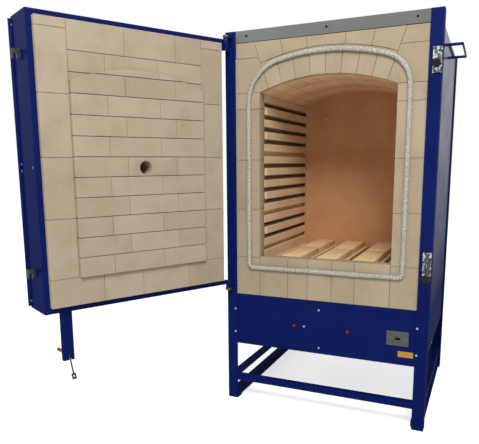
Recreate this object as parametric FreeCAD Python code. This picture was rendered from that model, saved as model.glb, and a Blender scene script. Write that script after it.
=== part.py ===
import FreeCAD, Part
import math
import os

os.makedirs("parts", exist_ok=True)

# Front-loading electric kiln on an open stand, all sizes in millimetres.
# Pieces are drawn from the kiln's front left floor corner: X right, Y back, Z up.
# They are saved from the middle of the front left foot, with the door swung open.

# Steel frame
WIDTH = 920.0
DEPTH = 882.0
ROOF_ABOVE_SKEWBACK = 69.0
POST_ABOVE_ROOF = 49.0
POST = 50.0
POST_WALL = 5.0
FOOT_THICK = 6.0
SHEET = 2.0
RAIL_TOP = 122.0
RAIL_HEIGHT = 30.0
RAIL_WALL = 4.0
CROSS_RAIL_DEPTH = 30.0
SIDE_RAIL_FLANGE = 50.0
RUNNER_Z = 12.0
RUNNER_HEIGHT = 25.0
RUNNER_WALL = 2.5

# Switch compartment and the frame under the bricks
PANEL_BOTTOM = 282.5
COMPARTMENT_Z = 315.0
COMPARTMENT_RING = 30.0
BRICK_Z = 528.0
TRAY_THICK = 4.0
TRAY_LIP = 15.0
BRICK_RING_HEIGHT = 50.0
BRICK_RING_WALL = 5.0
BEARER_WIDTH = 40.0
BEARER_PLACES = (300.0, 580.0)
PANEL_GAP = 0.3

# Brickwork
SLAB_THICK = 30.0
OPENING_SIDE = 735.0
ARCH_RADIUS = 774.0
VAULT_THICK = 114.0
WALL_THICK = 114.0
FACING_THICK = 61.0
BACK_BOARD = 32.0
WIRING_SPACE = 27.0
FLOOR_BOARD = 80.0
FLOOR_BRICK = 76.0
VOUSSOIR_ANGLE = 4.8
VOUSSOIRS_PER_SIDE = 4
VAULT_BRICK_COUNT = 3
SKEWBACK_HEIGHT = 149.0
SPANDREL_ANGLES = (5.2, 12.2, 19.2)
LOWEST_JAMB = 180.0
JAMB_BRICK = 223.7
SILL_JOINTS = (301.0, 394.0, 504.0, 606.0)
BACK_COURSE = 110.0
SLAB_WIDTH = 97.0
SLAB_PITCH = 169.0
FLOOR_BRICK_COLUMN_COUNT = 4
FLOOR_BRICK_ROW_COUNT = 3

# Heating elements
GROOVE_COUNT = 13
FIRST_GROOVE_ABOVE_SILL = 30.0
LAST_GROOVE_BELOW_SPRING = 44.0
GROOVE_HEIGHT = 22.0
GROOVE_DEPTH = 20.0
ELEMENT_RADIUS = 6.5
HAIRPINS = ((12, 11), (10, 9), (7, 6), (5, 4), (2, 1))
ELEMENT_FRONT = 14.0
FLOOR_ELEMENT_OFFSET = 22.0
TAIL_CLEARANCE = 1.0
TERMINAL = 16.0
TERMINAL_LENGTH = 18.0
TERMINAL_GAP = 3.0
THERMOCOUPLE_X = 283.0
THERMOCOUPLE_BELOW_SPRING = 71.0
THERMOCOUPLE_RADIUS = 5.0
THERMOCOUPLE_REACH = 40.0
THERMOCOUPLE_HEAD = 12.0

# Rope seal round the opening
ROPE_FROM_LEFT = 49.0
ROPE_FROM_RIGHT = 50.0
ROPE_BELOW_SILL = 51.0
ROPE_BELOW_RING = 19.0
ROPE_CORNER = 20.0
ROPE_TOP_LEFT = 180.0
ROPE_TOP_RIGHT = 130.0
ROPE_HALF_WIDTH = 11.0
SEAT_GAP = 0.3

# Door, drawn shut and then swung open
DOOR_OPEN = 117.3
HINGE_X = 18.6
HINGE_Y = -29.7
DOOR_LEFT = 41.0
DOOR_FROM_RIGHT = 31.0
DOOR_BELOW_SILL = 136.5
DOOR_BELOW_POST_TOP = 35.4
DOOR_FACE = -34.0
DOOR_PAN_DEPTH = 163.5
DOOR_WALL = 3.0
COVER_THICK = 2.5
COVER_LIP = 10.0
COVER_INSET = 5.5
LINING_FROM_LEFT = 14.0
LINING_FROM_RIGHT = 22.0
LINING_FROM_BOTTOM = 24.5
LINING_FROM_TOP = 22.6
LINING_FACE = -12.0
PLUG_DEPTH = 15.0
PLUG_CLEARANCE = 2.5
PLUG_ARCH_CLEARANCE = 5.0
DOOR_BRICK_THICK = 114.0
FIELD_COURSE_COUNT = 11
TOP_ROW = 106.6
BOTTOM_ROW = 109.0
LEFT_COLUMN = 110.0
RIGHT_COLUMN = 114.0
FIELD_JOINTS_ODD = (380.0, 609.0)
FIELD_JOINTS_EVEN = (304.0, 533.0)
COLUMN_BRICK = 228.0
TOP_ROW_JOINTS = (293.0, 524.0)
BOTTOM_ROW_JOINTS = (250.0, 476.0, 651.0)

# Spy hole and its bung
SPY_X = 454.0
SPY_COURSE = 5
SPY_ABOVE_JOINT = 33.5
SPY_RADIUS = 27.5
BUNG_GAP = 0.3
BUNG_LENGTH = 90.0
BUNG_HEAD_RADIUS = 36.0
BUNG_HEAD_LENGTH = 24.0

# Door hinges
HINGE_PIN_RADIUS = 6.0
KNUCKLE_RADIUS = 12.0
LUG_RADIUS = 14.0
LUG_THICK = 11.0
RUNNING_FIT = 0.05
UPPER_KNUCKLE_BELOW_TOP = 46.6
UPPER_LUG_ABOVE_TOP = 5.4
LOWER_LUG_BELOW_BOTTOM = 26.5
LOWER_KNUCKLE_LENGTH = 35.0
KNUCKLE_ARM = 12.0
PIN_HEAD = 3.0

# Swing bolt latches
LATCH_FROM_RIGHT = 11.0
LATCH_PIVOT_OUT = 22.0
LATCH_BELOW_DOOR_TOP = 147.6
LATCH_ABOVE_DOOR_BOTTOM = 150.5
LATCH_DROOP = 22.0
PLATE_WIDTH = 34.0
PLATE_FROM_RIGHT = 2.0
PLATE_THICK = 4.0
PLATE_UP = {"upper": 41.0, "lower": 48.0}
PLATE_DOWN = {"upper": 56.0, "lower": 48.0}
CHEEK_GAP = 8.0
CHEEK_THICK = 3.5
CHEEK_HALF_HEIGHT = 13.0
CHEEK_REACH = 9.0
LATCH_PIN_RADIUS = 4.0
EYE_RADIUS = 9.0
NECK_LENGTH = 16.0
SHANK_RADIUS = 5.0
CATCH_DISTANCE = 90.0
CATCH_THICK = 6.0
CATCH_REACH = 33.0
CATCH_UP = 20.0
CATCH_DOWN = 15.0
SLOT_CLEARANCE = 0.5
WASHER_RADIUS = 12.0
WASHER_THICK = 3.0
KNOB_HUB_RADIUS = 9.0
KNOB_HUB = 5.0
KNOB_THICK = 14.0
KNOB_LOBES = 7
KNOB_LOBE_RADIUS = 4.5
KNOB_LOBE_PLACE = 13.5
KNOB_CAP = 5.0

# Interlock lever under the door, its slot plate and its switch
LEVER_FROM_RIGHT = 122.5
LEVER_Z = 397.5
LEVER_DROOP = 64.0
LEG_WIDTH = 44.0
LEG_LEFT_OF_LEVER = 17.5
LEG_FRONT = -66.0
LEG_BACK = -46.0
LEG_WALL = 3.0
LEG_BOTTOM = 377.0
LEG_SLOT_WIDTH = 9.0
LEG_SLOT_ABOVE_ROD = 2.0
LEVER_HUB_RADIUS = 6.0
LEVER_SIDE_GAP = 1.0
LEVER_PIN_RADIUS = 4.0
LEVER_ROD_RADIUS = 3.0
KEY_START = 76.0
KEY_LENGTH = 24.0
KEY_WIDTH = 17.0
KEY_THICK = 4.0
KEY_WINDOW_WIDTH = 5.0
KEY_WINDOW_LENGTH = 8.0
SLOT_WIDTH = 22.0
SLOT_HEIGHT = 9.0
ARM_SAG = 5.0
ARM_LENGTH = 122.0
GRIP_START = 60.0
GRIP_LENGTH = 65.0
GRIP_RADIUS = 8.0
INTERLOCK_PLATE = (-46.5, 45.5, -30.5, 33.5)
INTERLOCK_PLATE_THICK = 2.0
SWITCH_BODY = (-31.5, 31.5, -25.5, 25.5)
SWITCH_DEPTH = 68.0
SWITCH_POCKET = 53.0
BLANK_PLATE = (3.5, 66.5, -78.5, -53.5)
BLANK_PLATE_THICK = 1.0

# Lamps, screws, handle, control gear and supply gland
LAMP_PLACES = ((336.0, 404.0), (583.0, 402.0))
BEZEL_RADIUS = 11.0
BEZEL_THICK = 3.0
LENS_RADIUS = 7.5
LENS_LENGTH = 9.0
LAMP_BODY_LENGTH = 30.0
SCREW_RADIUS = 5.0
SCREW_HEAD = 2.5
STRIP_SCREW_INSET = 50.0
STRIP_SCREW_OFFSET = 2.0
STRIP_SCREW_ABOVE_ROOF = 26.0
LEFT_POST_SCREWS = ((42.0, 455.0), (41.0, 341.0))
RIGHT_POST_SCREWS = ((44.0, 453.0), (43.0, 336.0))
PANEL_SCREWS = ((450.0, 486.0), (453.0, 310.0), (382.0, 403.0))
DOOR_SCREW_BACK_Y = -185.0
DOOR_SCREW_FRONT_Y = -54.0
DOOR_SCREW_FROM_BOTTOM = 29.5
DOOR_SCREW_FROM_TOP = 30.6
DOOR_SCREW_PAIR = 26.0
DOOR_SCREW_ABOVE_MIDDLE = 1.95
STRIP_FACE = 3.0
STRIP_LAP = 1.0
HANDLE_FRONT = 330.0
HANDLE_BACK = 656.0
HANDLE_BELOW_ROOF = 34.0
HANDLE_BAR_HEIGHT = 12.0
HANDLE_BAR = 6.0
HANDLE_BASE = 4.0
HANDLE_REACH = 59.0
GEAR_BOXES = ((300.0, 90.0, 90.0), (440.0, 60.0, 75.0), (560.0, 120.0, 45.0))
GEAR_Y = 300.0
GEAR_DEPTH = 80.0
GLAND_FROM_RIGHT = 120.0
GLAND_Z = 370.0
GLAND_BORE = 7.0
GLAND_THREAD = 10.0
GLAND_HEX = 14.0
GLAND_OUT = 16.0
GLAND_NUT = 5.5

# Places that follow from the sizes above
CENTRE_X = WIDTH / 2
WALL_LEFT = POST
WALL_RIGHT = WIDTH - POST
OPENING_LEFT = WALL_LEFT + WALL_THICK
OPENING_RIGHT = WALL_RIGHT - WALL_THICK
OPENING_WIDTH = OPENING_RIGHT - OPENING_LEFT
FLOOR_BRICK_Z = BRICK_Z + FLOOR_BOARD
FLOOR_TOP = FLOOR_BRICK_Z + FLOOR_BRICK
SILL_Z = FLOOR_TOP + SLAB_THICK
SPRING_Z = SILL_Z + OPENING_SIDE
ARCH_Z = SPRING_Z - math.sqrt(ARCH_RADIUS**2 - (OPENING_WIDTH / 2) ** 2)
FACING_Y = POST_WALL
FACING_BACK = FACING_Y + FACING_THICK
SKIN_LEFT = POST_WALL + SHEET
SKIN_RIGHT = WIDTH - SKIN_LEFT
SKIN_BACK = DEPTH - SKIN_LEFT
BACK_BOARD_END = SKIN_BACK - WIRING_SPACE
BACK_WALL_END = BACK_BOARD_END - BACK_BOARD
CHAMBER_BACK = BACK_WALL_END - WALL_THICK
SKEWBACK_TOP = SPRING_Z + SKEWBACK_HEIGHT
ROOF_Z = SKEWBACK_TOP + ROOF_ABOVE_SKEWBACK
FRONT_POST_TOP = ROOF_Z + POST_ABOVE_ROOF
FRONT_TOP = ROOF_Z - SHEET
SKEW_ANGLE = VOUSSOIR_ANGLE * VOUSSOIRS_PER_SIDE
EXTRADOS = ARCH_RADIUS + VAULT_THICK
ROPE_ARCH_RADIUS = EXTRADOS - ROPE_BELOW_RING
ROPE_BOTTOM = SILL_Z - ROPE_BELOW_SILL
ROPE_LEFT = OPENING_LEFT - ROPE_FROM_LEFT
ROPE_RIGHT = OPENING_RIGHT + ROPE_FROM_RIGHT
GROOVE_Z = SILL_Z + FIRST_GROOVE_ABOVE_SILL
GROOVE_PITCH = (SPRING_Z - LAST_GROOVE_BELOW_SPRING - GROOVE_Z) / (GROOVE_COUNT - 1)
THERMOCOUPLE_Z = SPRING_Z - THERMOCOUPLE_BELOW_SPRING
STRIP_SCREW_Z = ROOF_Z + STRIP_SCREW_ABOVE_ROOF
HANDLE_Z = ROOF_Z - HANDLE_BELOW_ROOF
ELEMENT_X = OPENING_LEFT - GROOVE_DEPTH + ELEMENT_RADIUS + TAIL_CLEARANCE
FLOOR_ELEMENT_Z = FLOOR_TOP - GROOVE_HEIGHT / 2
TAIL_RADIUS = ELEMENT_RADIUS + TAIL_CLEARANCE
TAIL_END = BACK_BOARD_END + TERMINAL_GAP + TERMINAL_LENGTH
SLAB_CENTRES = [CENTRE_X + step * SLAB_PITCH for step in (-1, 0, 1)]
DOOR_RIGHT = WIDTH - DOOR_FROM_RIGHT
DOOR_BOTTOM = SILL_Z - DOOR_BELOW_SILL
DOOR_TOP = FRONT_POST_TOP - DOOR_BELOW_POST_TOP
DOOR_BACK = DOOR_FACE - DOOR_PAN_DEPTH
COVER_FACE = DOOR_BACK - COVER_THICK
LINING_LEFT = DOOR_LEFT + LINING_FROM_LEFT
LINING_RIGHT = DOOR_RIGHT - LINING_FROM_RIGHT
LINING_BOTTOM = DOOR_BOTTOM + LINING_FROM_BOTTOM
LINING_TOP = DOOR_TOP - LINING_FROM_TOP
FIELD_LEFT = LINING_LEFT + LEFT_COLUMN
FIELD_RIGHT = LINING_RIGHT - RIGHT_COLUMN
FIELD_BOTTOM = LINING_BOTTOM + BOTTOM_ROW
FIELD_TOP = LINING_TOP - TOP_ROW
DOOR_BRICK_BACK = LINING_FACE - DOOR_BRICK_THICK
PLUG_FACE = LINING_FACE + PLUG_DEPTH
PLUG_RADIUS = ARCH_RADIUS - PLUG_ARCH_CLEARANCE
PLUG_BOTTOM = SILL_Z - PLUG_CLEARANCE
FIELD_COURSE = (FIELD_TOP - FIELD_BOTTOM) / FIELD_COURSE_COUNT
SPY_Z = FIELD_BOTTOM + FIELD_COURSE * SPY_COURSE + SPY_ABOVE_JOINT
UPPER_KNUCKLE_Z = DOOR_TOP - UPPER_KNUCKLE_BELOW_TOP
UPPER_LUG_Z = DOOR_TOP + UPPER_LUG_ABOVE_TOP
LOWER_LUG_Z = DOOR_BOTTOM - LOWER_LUG_BELOW_BOTTOM
LATCH_HEIGHTS = {
    "upper": DOOR_TOP - LATCH_BELOW_DOOR_TOP,
    "lower": DOOR_BOTTOM + LATCH_ABOVE_DOOR_BOTTOM,
}
LATCH_X = WIDTH - LATCH_FROM_RIGHT
PLATE_RIGHT = WIDTH - PLATE_FROM_RIGHT
PLATE_LEFT = PLATE_RIGHT - PLATE_WIDTH
PIVOT_Y = -LATCH_PIVOT_OUT
CATCH_FACE = PIVOT_Y - CATCH_DISTANCE
KNOB_START = CATCH_DISTANCE + SEAT_GAP + WASHER_THICK + SEAT_GAP
KNOB_END = KNOB_START + KNOB_HUB + KNOB_THICK
GLAND_X = WIDTH - GLAND_FROM_RIGHT
LEVER_X = WIDTH - LEVER_FROM_RIGHT
LEG_LEFT = LEVER_X - LEG_LEFT_OF_LEVER
LEG_RIGHT = LEG_LEFT + LEG_WIDTH
LEG_Y = (LEG_FRONT + LEG_BACK) / 2
HINGE_TURN = (FreeCAD.Vector(HINGE_X, HINGE_Y, 0), FreeCAD.Vector(0, 0, 1), -DOOR_OPEN)

X_AXIS = FreeCAD.Vector(1, 0, 0)
Y_AXIS = FreeCAD.Vector(0, 1, 0)
Z_AXIS = FreeCAD.Vector(0, 0, 1)
OUTWARD = FreeCAD.Vector(0, -1, 0)


def box(x0, x1, y0, y1, z0, z1):
    """A block between two corners."""
    return Part.makeBox(x1 - x0, y1 - y0, z1 - z0, FreeCAD.Vector(x0, y0, z0))


def rod(x, y, z, radius, length, axis):
    """A round bar from a point along an axis."""
    return Part.makeCylinder(radius, length, FreeCAD.Vector(x, y, z), axis)


def prism(points, y0, y1):
    """A shape drawn in X and Z, pushed from y0 to y1."""
    corners = [FreeCAD.Vector(x, y0, z) for x, z in points]
    face = Part.Face(Part.makePolygon(corners + corners[:1]))
    return face.extrude(FreeCAD.Vector(0, y1 - y0, 0))


def mirrored(shape):
    """The same shape on the other side of the kiln's middle plane."""
    return shape.mirror(FreeCAD.Vector(CENTRE_X, 0, 0), X_AXIS)


def fused(shapes):
    """Several touching shapes as one clean solid."""
    return shapes[0].fuse(shapes[1:]).removeSplitter()


def ring(x0, x1, y0, y1, z0, z1, wall):
    """A rectangular frame wall, open in the middle."""
    inner = box(x0 + wall, x1 - wall, y0 + wall, y1 - wall, z0, z1)
    return box(x0, x1, y0, y1, z0, z1).cut(inner)


def on_arch(radius, angle):
    """A point at an angle from the vertical through the arch's centre."""
    turn = math.radians(angle)
    return CENTRE_X + radius * math.sin(turn), ARCH_Z + radius * math.cos(turn)


def on_line(angle, height):
    """The point of an arch's radial line at a given height."""
    return CENTRE_X + (height - ARCH_Z) * math.tan(math.radians(angle)), height


def spans(start, joints, end):
    """Neighbouring pairs along a row that is cut at its joints."""
    marks = [start, *joints, end]
    return list(zip(marks, marks[1:]))


def whole_bricks(start, end, length):
    """Joints of a row of whole bricks that ends in a cut one."""
    joints = math.ceil((end - start) / length) - 1
    return [start + length * step for step in range(1, joints + 1)]


def even_spans(start, end, count):
    """A row cut into equal lengths."""
    step = (end - start) / count
    return [(start + step * i, start + step * (i + 1)) for i in range(count)]


def save(node, shapes, turns=()):
    """Turn a sub-part where it needs it, move it to the foot's frame and write it."""
    solids = [solid for shape in shapes for solid in shape.Solids]
    group = Part.makeCompound(solids) if len(solids) > 1 else solids[0].copy()
    for centre, axis, angle in turns:
        group.rotate(centre, axis, angle)
    group.translate(FreeCAD.Vector(-POST / 2, -POST / 2, 0))
    group.exportStep(f"parts/{node}.step")


def save_on_door(node, shapes, turns=()):
    """A piece that swings with the door is drawn shut and saved open."""
    save(node, shapes, [*turns, HINGE_TURN])


# Corner posts of angle iron. The front pair stands above the roof.
def post(top):
    """One angle iron at the front left corner."""
    front = box(0, POST, 0, POST_WALL, FOOT_THICK, top)
    side = box(0, POST_WALL, 0, POST, FOOT_THICK, top)
    return fused([front, side])


def to_back(shape):
    """The same shape at the back of the kiln."""
    return shape.mirror(FreeCAD.Vector(0, DEPTH / 2, 0), Y_AXIS)


front_post = post(FRONT_POST_TOP)
rear_post = to_back(post(ROOF_Z))
save("front_posts", [front_post, mirrored(front_post)])
save("rear_posts", [rear_post, mirrored(rear_post)])

foot = box(0, POST, 0, POST, 0, FOOT_THICK)
save("foot_plates", [foot, mirrored(foot), to_back(foot), mirrored(to_back(foot))])


# Stand rails: angle iron across the front and back, wider angles along the sides.
rail_low = RAIL_TOP - RAIL_HEIGHT
cross_rail = fused(
    [
        box(POST_WALL, WIDTH - POST_WALL, POST_WALL, POST_WALL + RAIL_WALL, rail_low, RAIL_TOP),
        box(
            POST_WALL,
            WIDTH - POST_WALL,
            POST_WALL,
            POST_WALL + CROSS_RAIL_DEPTH,
            RAIL_TOP - RAIL_WALL,
            RAIL_TOP,
        ),
    ]
)
save("cross_rails", [cross_rail, to_back(cross_rail)])

side_start = POST_WALL + CROSS_RAIL_DEPTH
side_end = DEPTH - side_start
side_rail = fused(
    [
        box(POST_WALL, POST_WALL + RAIL_WALL, side_start, side_end, rail_low, RAIL_TOP),
        box(
            POST_WALL,
            POST_WALL + SIDE_RAIL_FLANGE,
            side_start,
            side_end,
            RAIL_TOP - RAIL_WALL,
            RAIL_TOP,
        ),
    ]
)
save("side_rails", [side_rail, mirrored(side_rail)])

runner_top = RUNNER_Z + RUNNER_HEIGHT
runner_core = box(
    POST_WALL + RUNNER_WALL,
    POST_WALL + POST - RUNNER_WALL,
    POST_WALL,
    DEPTH - POST_WALL,
    RUNNER_Z + RUNNER_WALL,
    runner_top - RUNNER_WALL,
)
runner = box(POST_WALL, POST_WALL + POST, POST_WALL, DEPTH - POST_WALL, RUNNER_Z, runner_top)
runner = runner.cut(runner_core)
save("floor_runners", [runner, mirrored(runner)])


# Switch compartment: an angle ring inside the posts with a sheet on its flange.
ring_wall = ring(
    SKIN_LEFT,
    SKIN_RIGHT,
    SKIN_LEFT,
    SKIN_BACK,
    COMPARTMENT_Z,
    COMPARTMENT_Z + COMPARTMENT_RING,
    RAIL_WALL,
)
ring_flange = ring(
    SKIN_LEFT,
    SKIN_RIGHT,
    SKIN_LEFT,
    SKIN_BACK,
    COMPARTMENT_Z,
    COMPARTMENT_Z + RAIL_WALL,
    COMPARTMENT_RING,
)
compartment_tray = box(
    SKIN_LEFT + RAIL_WALL,
    SKIN_RIGHT - RAIL_WALL,
    SKIN_LEFT + RAIL_WALL,
    SKIN_BACK - RAIL_WALL,
    COMPARTMENT_Z + RAIL_WALL,
    COMPARTMENT_Z + RAIL_WALL + SHEET,
)
save("compartment_frame", [fused([ring_wall, ring_flange]), compartment_tray])


# Frame under the bricks: a heavier ring, two bearers and a tray with a front lip.
tray_z = BRICK_Z - TRAY_THICK
ring_z = tray_z - BRICK_RING_HEIGHT
brick_ring = fused(
    [
        ring(SKIN_LEFT, SKIN_RIGHT, SKIN_LEFT, SKIN_BACK, ring_z, tray_z, BRICK_RING_WALL),
        ring(
            SKIN_LEFT,
            SKIN_RIGHT,
            SKIN_LEFT,
            SKIN_BACK,
            tray_z - BRICK_RING_WALL,
            tray_z,
            BRICK_RING_HEIGHT,
        ),
    ]
)
bearers = [
    box(
        SKIN_LEFT + BRICK_RING_HEIGHT,
        SKIN_RIGHT - BRICK_RING_HEIGHT,
        y - BEARER_WIDTH / 2,
        y + BEARER_WIDTH / 2,
        tray_z - BEARER_WIDTH,
        tray_z,
    )
    for y in BEARER_PLACES
]
save("brick_frame", [brick_ring, *bearers])

floor_tray = fused(
    [
        box(SKIN_LEFT, SKIN_RIGHT, POST_WALL, SKIN_BACK, tray_z, BRICK_Z),
        box(SKIN_LEFT, SKIN_RIGHT, POST_WALL, SKIN_LEFT, tray_z - TRAY_LIP, BRICK_Z),
    ]
)
save("floor_tray", [floor_tray])


# Steel skin. The roof sheet turns up in front and carries the stainless strip.
side_panel = box(POST_WALL, SKIN_LEFT, POST_WALL, DEPTH - POST_WALL, COMPARTMENT_Z, ROOF_Z)
save("left_side_panel", [side_panel])
save("right_side_panel", [mirrored(side_panel)])

gland_hole = rod(GLAND_X, SKIN_BACK, GLAND_Z, GLAND_THREAD + RUNNING_FIT, SHEET, Y_AXIS)
rear_panel = box(SKIN_LEFT, SKIN_RIGHT, SKIN_BACK, SKIN_BACK + SHEET, COMPARTMENT_Z, ROOF_Z)
save("rear_panel", [rear_panel.cut(gland_hole)])

roof = fused(
    [
        box(SKIN_LEFT, SKIN_RIGHT, POST_WALL, SKIN_BACK, FRONT_TOP, ROOF_Z),
        box(
            SKIN_LEFT,
            SKIN_RIGHT,
            POST_WALL,
            SKIN_LEFT,
            FRONT_TOP,
            FRONT_POST_TOP - RAIL_WALL,
        ),
    ]
)
save("roof_panel", [roof])

strip = box(POST, WIDTH - POST, STRIP_FACE, POST_WALL, ROOF_Z - STRIP_LAP, FRONT_POST_TOP)
save("top_strip", [strip])


# Lower front panel, with the interlock slot and the lamp holes cut through it.
def beside_lever(sides):
    """The left, right, low and high sides of a plate, given from the interlock slot's middle."""
    left, right, low, high = sides
    return LEVER_X + left, LEVER_X + right, LEVER_Z + low, LEVER_Z + high


slot = box(
    LEVER_X - SLOT_WIDTH / 2,
    LEVER_X + SLOT_WIDTH / 2,
    POST_WALL - INTERLOCK_PLATE_THICK,
    SKIN_LEFT + SWITCH_POCKET,
    LEVER_Z - SLOT_HEIGHT / 2,
    LEVER_Z + SLOT_HEIGHT / 2,
)
lamp_body = LENS_RADIUS + 2 * RUNNING_FIT
panel_top = tray_z - TRAY_LIP - PANEL_GAP
lower_panel = box(SKIN_LEFT, SKIN_RIGHT, POST_WALL, SKIN_LEFT, PANEL_BOTTOM, panel_top).cut(slot)
for lamp_x, lamp_z in LAMP_PLACES:
    lower_panel = lower_panel.cut(rod(lamp_x, POST_WALL, lamp_z, lamp_body, SHEET, Y_AXIS))
save("lower_front_panel", [lower_panel])

x0, x1, z0, z1 = beside_lever(INTERLOCK_PLATE)
plate = box(x0, x1, POST_WALL - INTERLOCK_PLATE_THICK, POST_WALL, z0, z1)
save("interlock_plate", [plate.cut(slot)])

x0, x1, z0, z1 = beside_lever(SWITCH_BODY)
switch = box(x0, x1, SKIN_LEFT, SKIN_LEFT + SWITCH_DEPTH, z0, z1)
save("interlock_switch", [switch.cut(slot)])

x0, x1, z0, z1 = beside_lever(BLANK_PLATE)
save("blank_plate", [box(x0, x1, POST_WALL - BLANK_PLATE_THICK, POST_WALL, z0, z1)])

bezels = []
lenses = []
for lamp_x, lamp_z in LAMP_PLACES:
    face = POST_WALL - BEZEL_THICK
    bezel = rod(lamp_x, face, lamp_z, BEZEL_RADIUS, BEZEL_THICK, Y_AXIS)
    bezels.append(bezel.cut(rod(lamp_x, face, lamp_z, lamp_body, BEZEL_THICK, Y_AXIS)))
    lens_y = POST_WALL - LENS_LENGTH
    lenses.append(rod(lamp_x, lens_y, lamp_z, LENS_RADIUS, LENS_LENGTH + LAMP_BODY_LENGTH, Y_AXIS))
save("lamp_bezels", bezels)
save("signal_lamps", lenses)


# Flat bar handle low on the roof line of the right side.
skin = WIDTH - POST_WALL
handle_top = HANDLE_Z + HANDLE_BAR_HEIGHT
handle = fused(
    [
        box(skin, skin + HANDLE_BASE, HANDLE_FRONT, HANDLE_BACK, HANDLE_Z, handle_top),
        box(skin, skin + HANDLE_REACH, HANDLE_FRONT, HANDLE_FRONT + HANDLE_BAR, HANDLE_Z, handle_top),
        box(skin, skin + HANDLE_REACH, HANDLE_BACK - HANDLE_BAR, HANDLE_BACK, HANDLE_Z, handle_top),
        box(
            skin + HANDLE_REACH - HANDLE_BAR,
            skin + HANDLE_REACH,
            HANDLE_FRONT,
            HANDLE_BACK,
            HANDLE_Z,
            handle_top,
        ),
    ]
)
save("side_handle", [handle])


# Screw heads on the strip, the posts and the lower panel.
screw_pitch = CENTRE_X - POST - STRIP_SCREW_INSET
strip_screws = [CENTRE_X + STRIP_SCREW_OFFSET + step * screw_pitch for step in (-1, 0, 1)]
post_screws = [*LEFT_POST_SCREWS, *[(WIDTH - x, z) for x, z in RIGHT_POST_SCREWS]]
heads = [
    rod(x, STRIP_FACE - SCREW_HEAD, STRIP_SCREW_Z, SCREW_RADIUS, SCREW_HEAD, Y_AXIS)
    for x in strip_screws
]
heads += [rod(x, -SCREW_HEAD, z, SCREW_RADIUS, SCREW_HEAD, Y_AXIS) for x, z in post_screws]
heads += [
    rod(x, POST_WALL - SCREW_HEAD, z, SCREW_RADIUS, SCREW_HEAD, Y_AXIS) for x, z in PANEL_SCREWS
]
save("casing_screws", heads)


# Facing bricks beside the opening, up to the springing of the arch.
jambs = []
first_joint = BRICK_Z + LOWEST_JAMB
jamb_joints = [first_joint, *whole_bricks(first_joint, SPRING_Z, JAMB_BRICK)]
for z0, z1 in spans(BRICK_Z, jamb_joints, SPRING_Z):
    brick = box(WALL_LEFT, OPENING_LEFT, FACING_Y, FACING_BACK, z0, z1)
    jambs += [brick, mirrored(brick)]
save("jamb_bricks", jambs)

# Soldier bricks of the sill.
sill = [
    box(x0, x1, FACING_Y, FACING_BACK, BRICK_Z, SILL_Z)
    for x0, x1 in spans(OPENING_LEFT, SILL_JOINTS, OPENING_RIGHT)
]
save("sill_bricks", sill)

# Facing bricks above the arch ring, cut on radial joints.
arch_disc = rod(CENTRE_X, FACING_Y, ARCH_Z, EXTRADOS, FACING_THICK, Y_AXIS)
ring_low = ARCH_Z + ARCH_RADIUS * math.cos(math.radians(SKEW_ANGLE))
joints = [-SPANDREL_ANGLES[2], -SPANDREL_ANGLES[1], -SPANDREL_ANGLES[0], *SPANDREL_ANGLES]
arch_bricks = []
for a0, a1 in zip(joints, joints[1:]):
    outline = [
        on_line(a0, ring_low),
        on_line(a1, ring_low),
        on_line(a1, FRONT_TOP),
        on_line(a0, FRONT_TOP),
    ]
    arch_bricks.append(prism(outline, FACING_Y, FACING_BACK).cut(arch_disc))
corner = prism(
    [
        (WALL_LEFT, SKEWBACK_TOP),
        on_line(-SKEW_ANGLE, SKEWBACK_TOP),
        on_line(-SKEW_ANGLE, FRONT_TOP),
        (WALL_LEFT, FRONT_TOP),
    ],
    FACING_Y,
    FACING_BACK,
)
arch_bricks += [corner, mirrored(corner)]
save("arch_bricks", arch_bricks)


# Vault: wedge bricks between two skewbacks, from the front face to the back wall.
def vault_outline(a0, a1):
    """One wedge of the vault, with straight inner and outer edges."""
    return [
        on_arch(ARCH_RADIUS, a0),
        on_arch(ARCH_RADIUS, a1),
        on_arch(EXTRADOS, a1),
        on_arch(EXTRADOS, a0),
    ]


skewback_outline = [
    (WALL_LEFT, SPRING_Z),
    (OPENING_LEFT, SPRING_Z),
    on_arch(ARCH_RADIUS, -SKEW_ANGLE),
    on_line(-SKEW_ANGLE, SKEWBACK_TOP),
    (WALL_LEFT, SKEWBACK_TOP),
]
vault = []
for y0, y1 in even_spans(FACING_Y, CHAMBER_BACK, VAULT_BRICK_COUNT):
    for step in range(-VOUSSOIRS_PER_SIDE, VOUSSOIRS_PER_SIDE):
        angle = step * VOUSSOIR_ANGLE
        vault.append(prism(vault_outline(angle, angle + VOUSSOIR_ANGLE), y0, y1))
    skewback = prism(skewback_outline, y0, y1)
    vault += [skewback, mirrored(skewback)]
save("vault_bricks", vault)


# Side walls in courses, with a groove for each heating element.
def groove_z(number):
    """Height of a groove's middle, counted up from the bottom one."""
    return GROOVE_Z + GROOVE_PITCH * number


lowest_joint = GROOVE_Z + GROOVE_PITCH / 2
course_joints = [lowest_joint + 2 * GROOVE_PITCH * i for i in range(GROOVE_COUNT // 2)]
grooves = [
    box(
        OPENING_LEFT - GROOVE_DEPTH,
        OPENING_LEFT,
        FACING_BACK,
        CHAMBER_BACK,
        groove_z(number) - GROOVE_HEIGHT / 2,
        groove_z(number) + GROOVE_HEIGHT / 2,
    )
    for number in range(GROOVE_COUNT)
]
links = [
    box(
        OPENING_LEFT - GROOVE_DEPTH,
        OPENING_LEFT,
        FACING_BACK,
        FACING_BACK + ELEMENT_FRONT + GROOVE_HEIGHT / 2,
        groove_z(low),
        groove_z(high),
    )
    for high, low in HAIRPINS
]
wall_cuts = Part.makeCompound(grooves + links)
side_walls = []
for z0, z1 in spans(FLOOR_BRICK_Z, course_joints, SPRING_Z):
    course = box(WALL_LEFT, OPENING_LEFT, FACING_BACK, CHAMBER_BACK, z0, z1).cut(wall_cuts)
    side_walls += [course, mirrored(course)]
save("side_wall_bricks", side_walls)


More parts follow.
